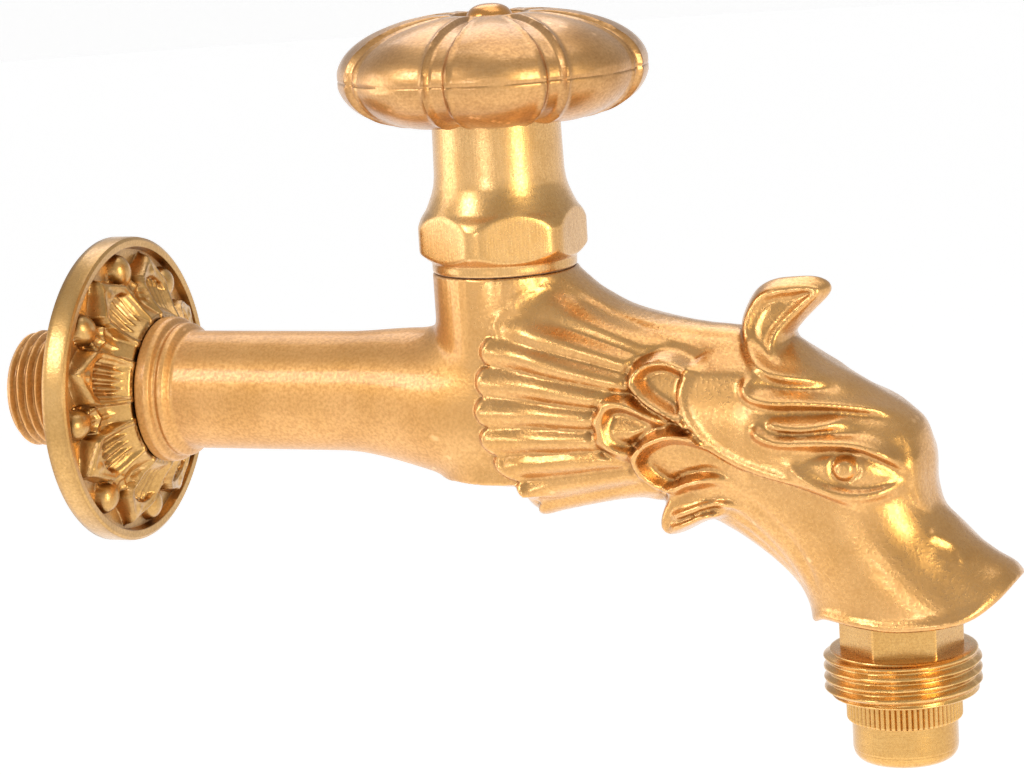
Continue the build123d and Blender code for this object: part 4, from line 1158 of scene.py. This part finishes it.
floor_verts = []
for radius, height in FLOOR_RINGS:
    for k in range(FLOOR_SIDES):
        angle = 2 * math.pi * k / FLOOR_SIDES
        floor_verts.append((FLOOR_CENTRE + radius * math.cos(angle), radius * math.sin(angle), height))
floor_faces = [tuple(range(FLOOR_SIDES))]
for k in range(FLOOR_SIDES):
    after = (k + 1) % FLOOR_SIDES
    floor_faces.append((k, after, FLOOR_SIDES + after, FLOOR_SIDES + k))
floor_mesh = bpy.data.meshes.new("floor")
floor_mesh.from_pydata(floor_verts, [], floor_faces)
floor = bpy.data.objects.new("floor", floor_mesh)
bpy.context.scene.collection.objects.link(floor)
floor_paint, tree, inputs = material("pale_floor")
feed(tree, inputs["Base Color"], FLOOR_COLOUR)
feed(tree, inputs["Roughness"], FLOOR_ROUGHNESS)
feed(tree, inputs["Emission Color"], WHITE)
seen = tree.nodes.new("ShaderNodeLightPath").outputs
glow = seen["Is Camera Ray"]
for operation, other in (("MAXIMUM", seen["Is Glossy Ray"]), ("MAXIMUM", seen["Is Transmission Ray"]),
                         ("MULTIPLY", FLOOR_GLOW)):
    step = tree.nodes.new("ShaderNodeMath")
    step.operation = operation
    feed(tree, step.inputs[0], glow)
    feed(tree, step.inputs[1], other)
    glow = step.outputs["Value"]
feed(tree, inputs["Emission Strength"], glow)
floor_mesh.materials.append(floor_paint)

world = bpy.data.worlds.new("studio")
world.use_nodes = True
bpy.context.scene.world = world
background = world.node_tree.nodes["Background"]
background.inputs["Color"].default_value = (*WHITE, 1)
background.inputs["Strength"].default_value = WORLD_STRENGTH

TARGET = Vector((0.0769, 0.0, 0.0009))


def softbox(name, place, size, power, tint=WHITE):
    """Rectangular lamp aimed at the tap."""
    lamp = bpy.data.lights.new(name, "AREA")
    lamp.shape = "RECTANGLE"
    lamp.size, lamp.size_y = size
    lamp.energy = power
    lamp.color = tint
    made = bpy.data.objects.new(name, lamp)
    made.location = place
    made.rotation_euler = (TARGET - Vector(place)).to_track_quat("-Z", "Y").to_euler()
    bpy.context.scene.collection.objects.link(made)


softbox("key", (-0.48, -0.74, 0.58), (0.36, 0.36), 2.9)
softbox("overhead", (0.15, 0.15, 1.0), (0.8, 0.6), 2.0)
softbox("fill", (0.95, -0.55, 0.2), (0.3, 0.6), 4.2, (1.0, 0.94, 0.68))
softbox("front", (0.02, -1.1, 0.14), (0.22, 0.3), 1.1)
softbox("left", (-0.95, -0.25, 0.1), (0.6, 0.7), 2.4)
softbox("rim", (-0.3, 0.72, 0.85), (0.6, 0.6), 1.9)

# Camera found from the two thread sizes, the rosette's ellipse and the nose in the photograph
CAMERA_AZIMUTH = math.radians(21.873)
CAMERA_ELEVATION = math.radians(10.537)
CAMERA_ROLL = math.radians(-3.625)
CAMERA_DISTANCE = 0.559261
CAMERA_FOCUS = Vector((0.076852, 0.0, 0.000858))
FOCAL_SHARE = 3248.34 / 1024
SENSOR = 36.0

turn = Matrix.Rotation(CAMERA_AZIMUTH, 4, "Z")
turn = turn @ Matrix.Rotation(math.pi / 2 - CAMERA_ELEVATION, 4, "X") @ Matrix.Rotation(CAMERA_ROLL, 4, "Z")
lens = bpy.data.cameras.new("photo_camera")
lens.sensor_width = SENSOR
lens.lens = SENSOR * FOCAL_SHARE
lens.clip_start = 0.01
camera = bpy.data.objects.new("photo_camera", lens)
camera.matrix_world = Matrix.Translation(CAMERA_FOCUS) @ turn @ Matrix.Translation((0, 0, CAMERA_DISTANCE))
bpy.context.scene.collection.objects.link(camera)
bpy.context.scene.camera = camera
bpy.context.scene.view_settings.view_transform = "Standard"
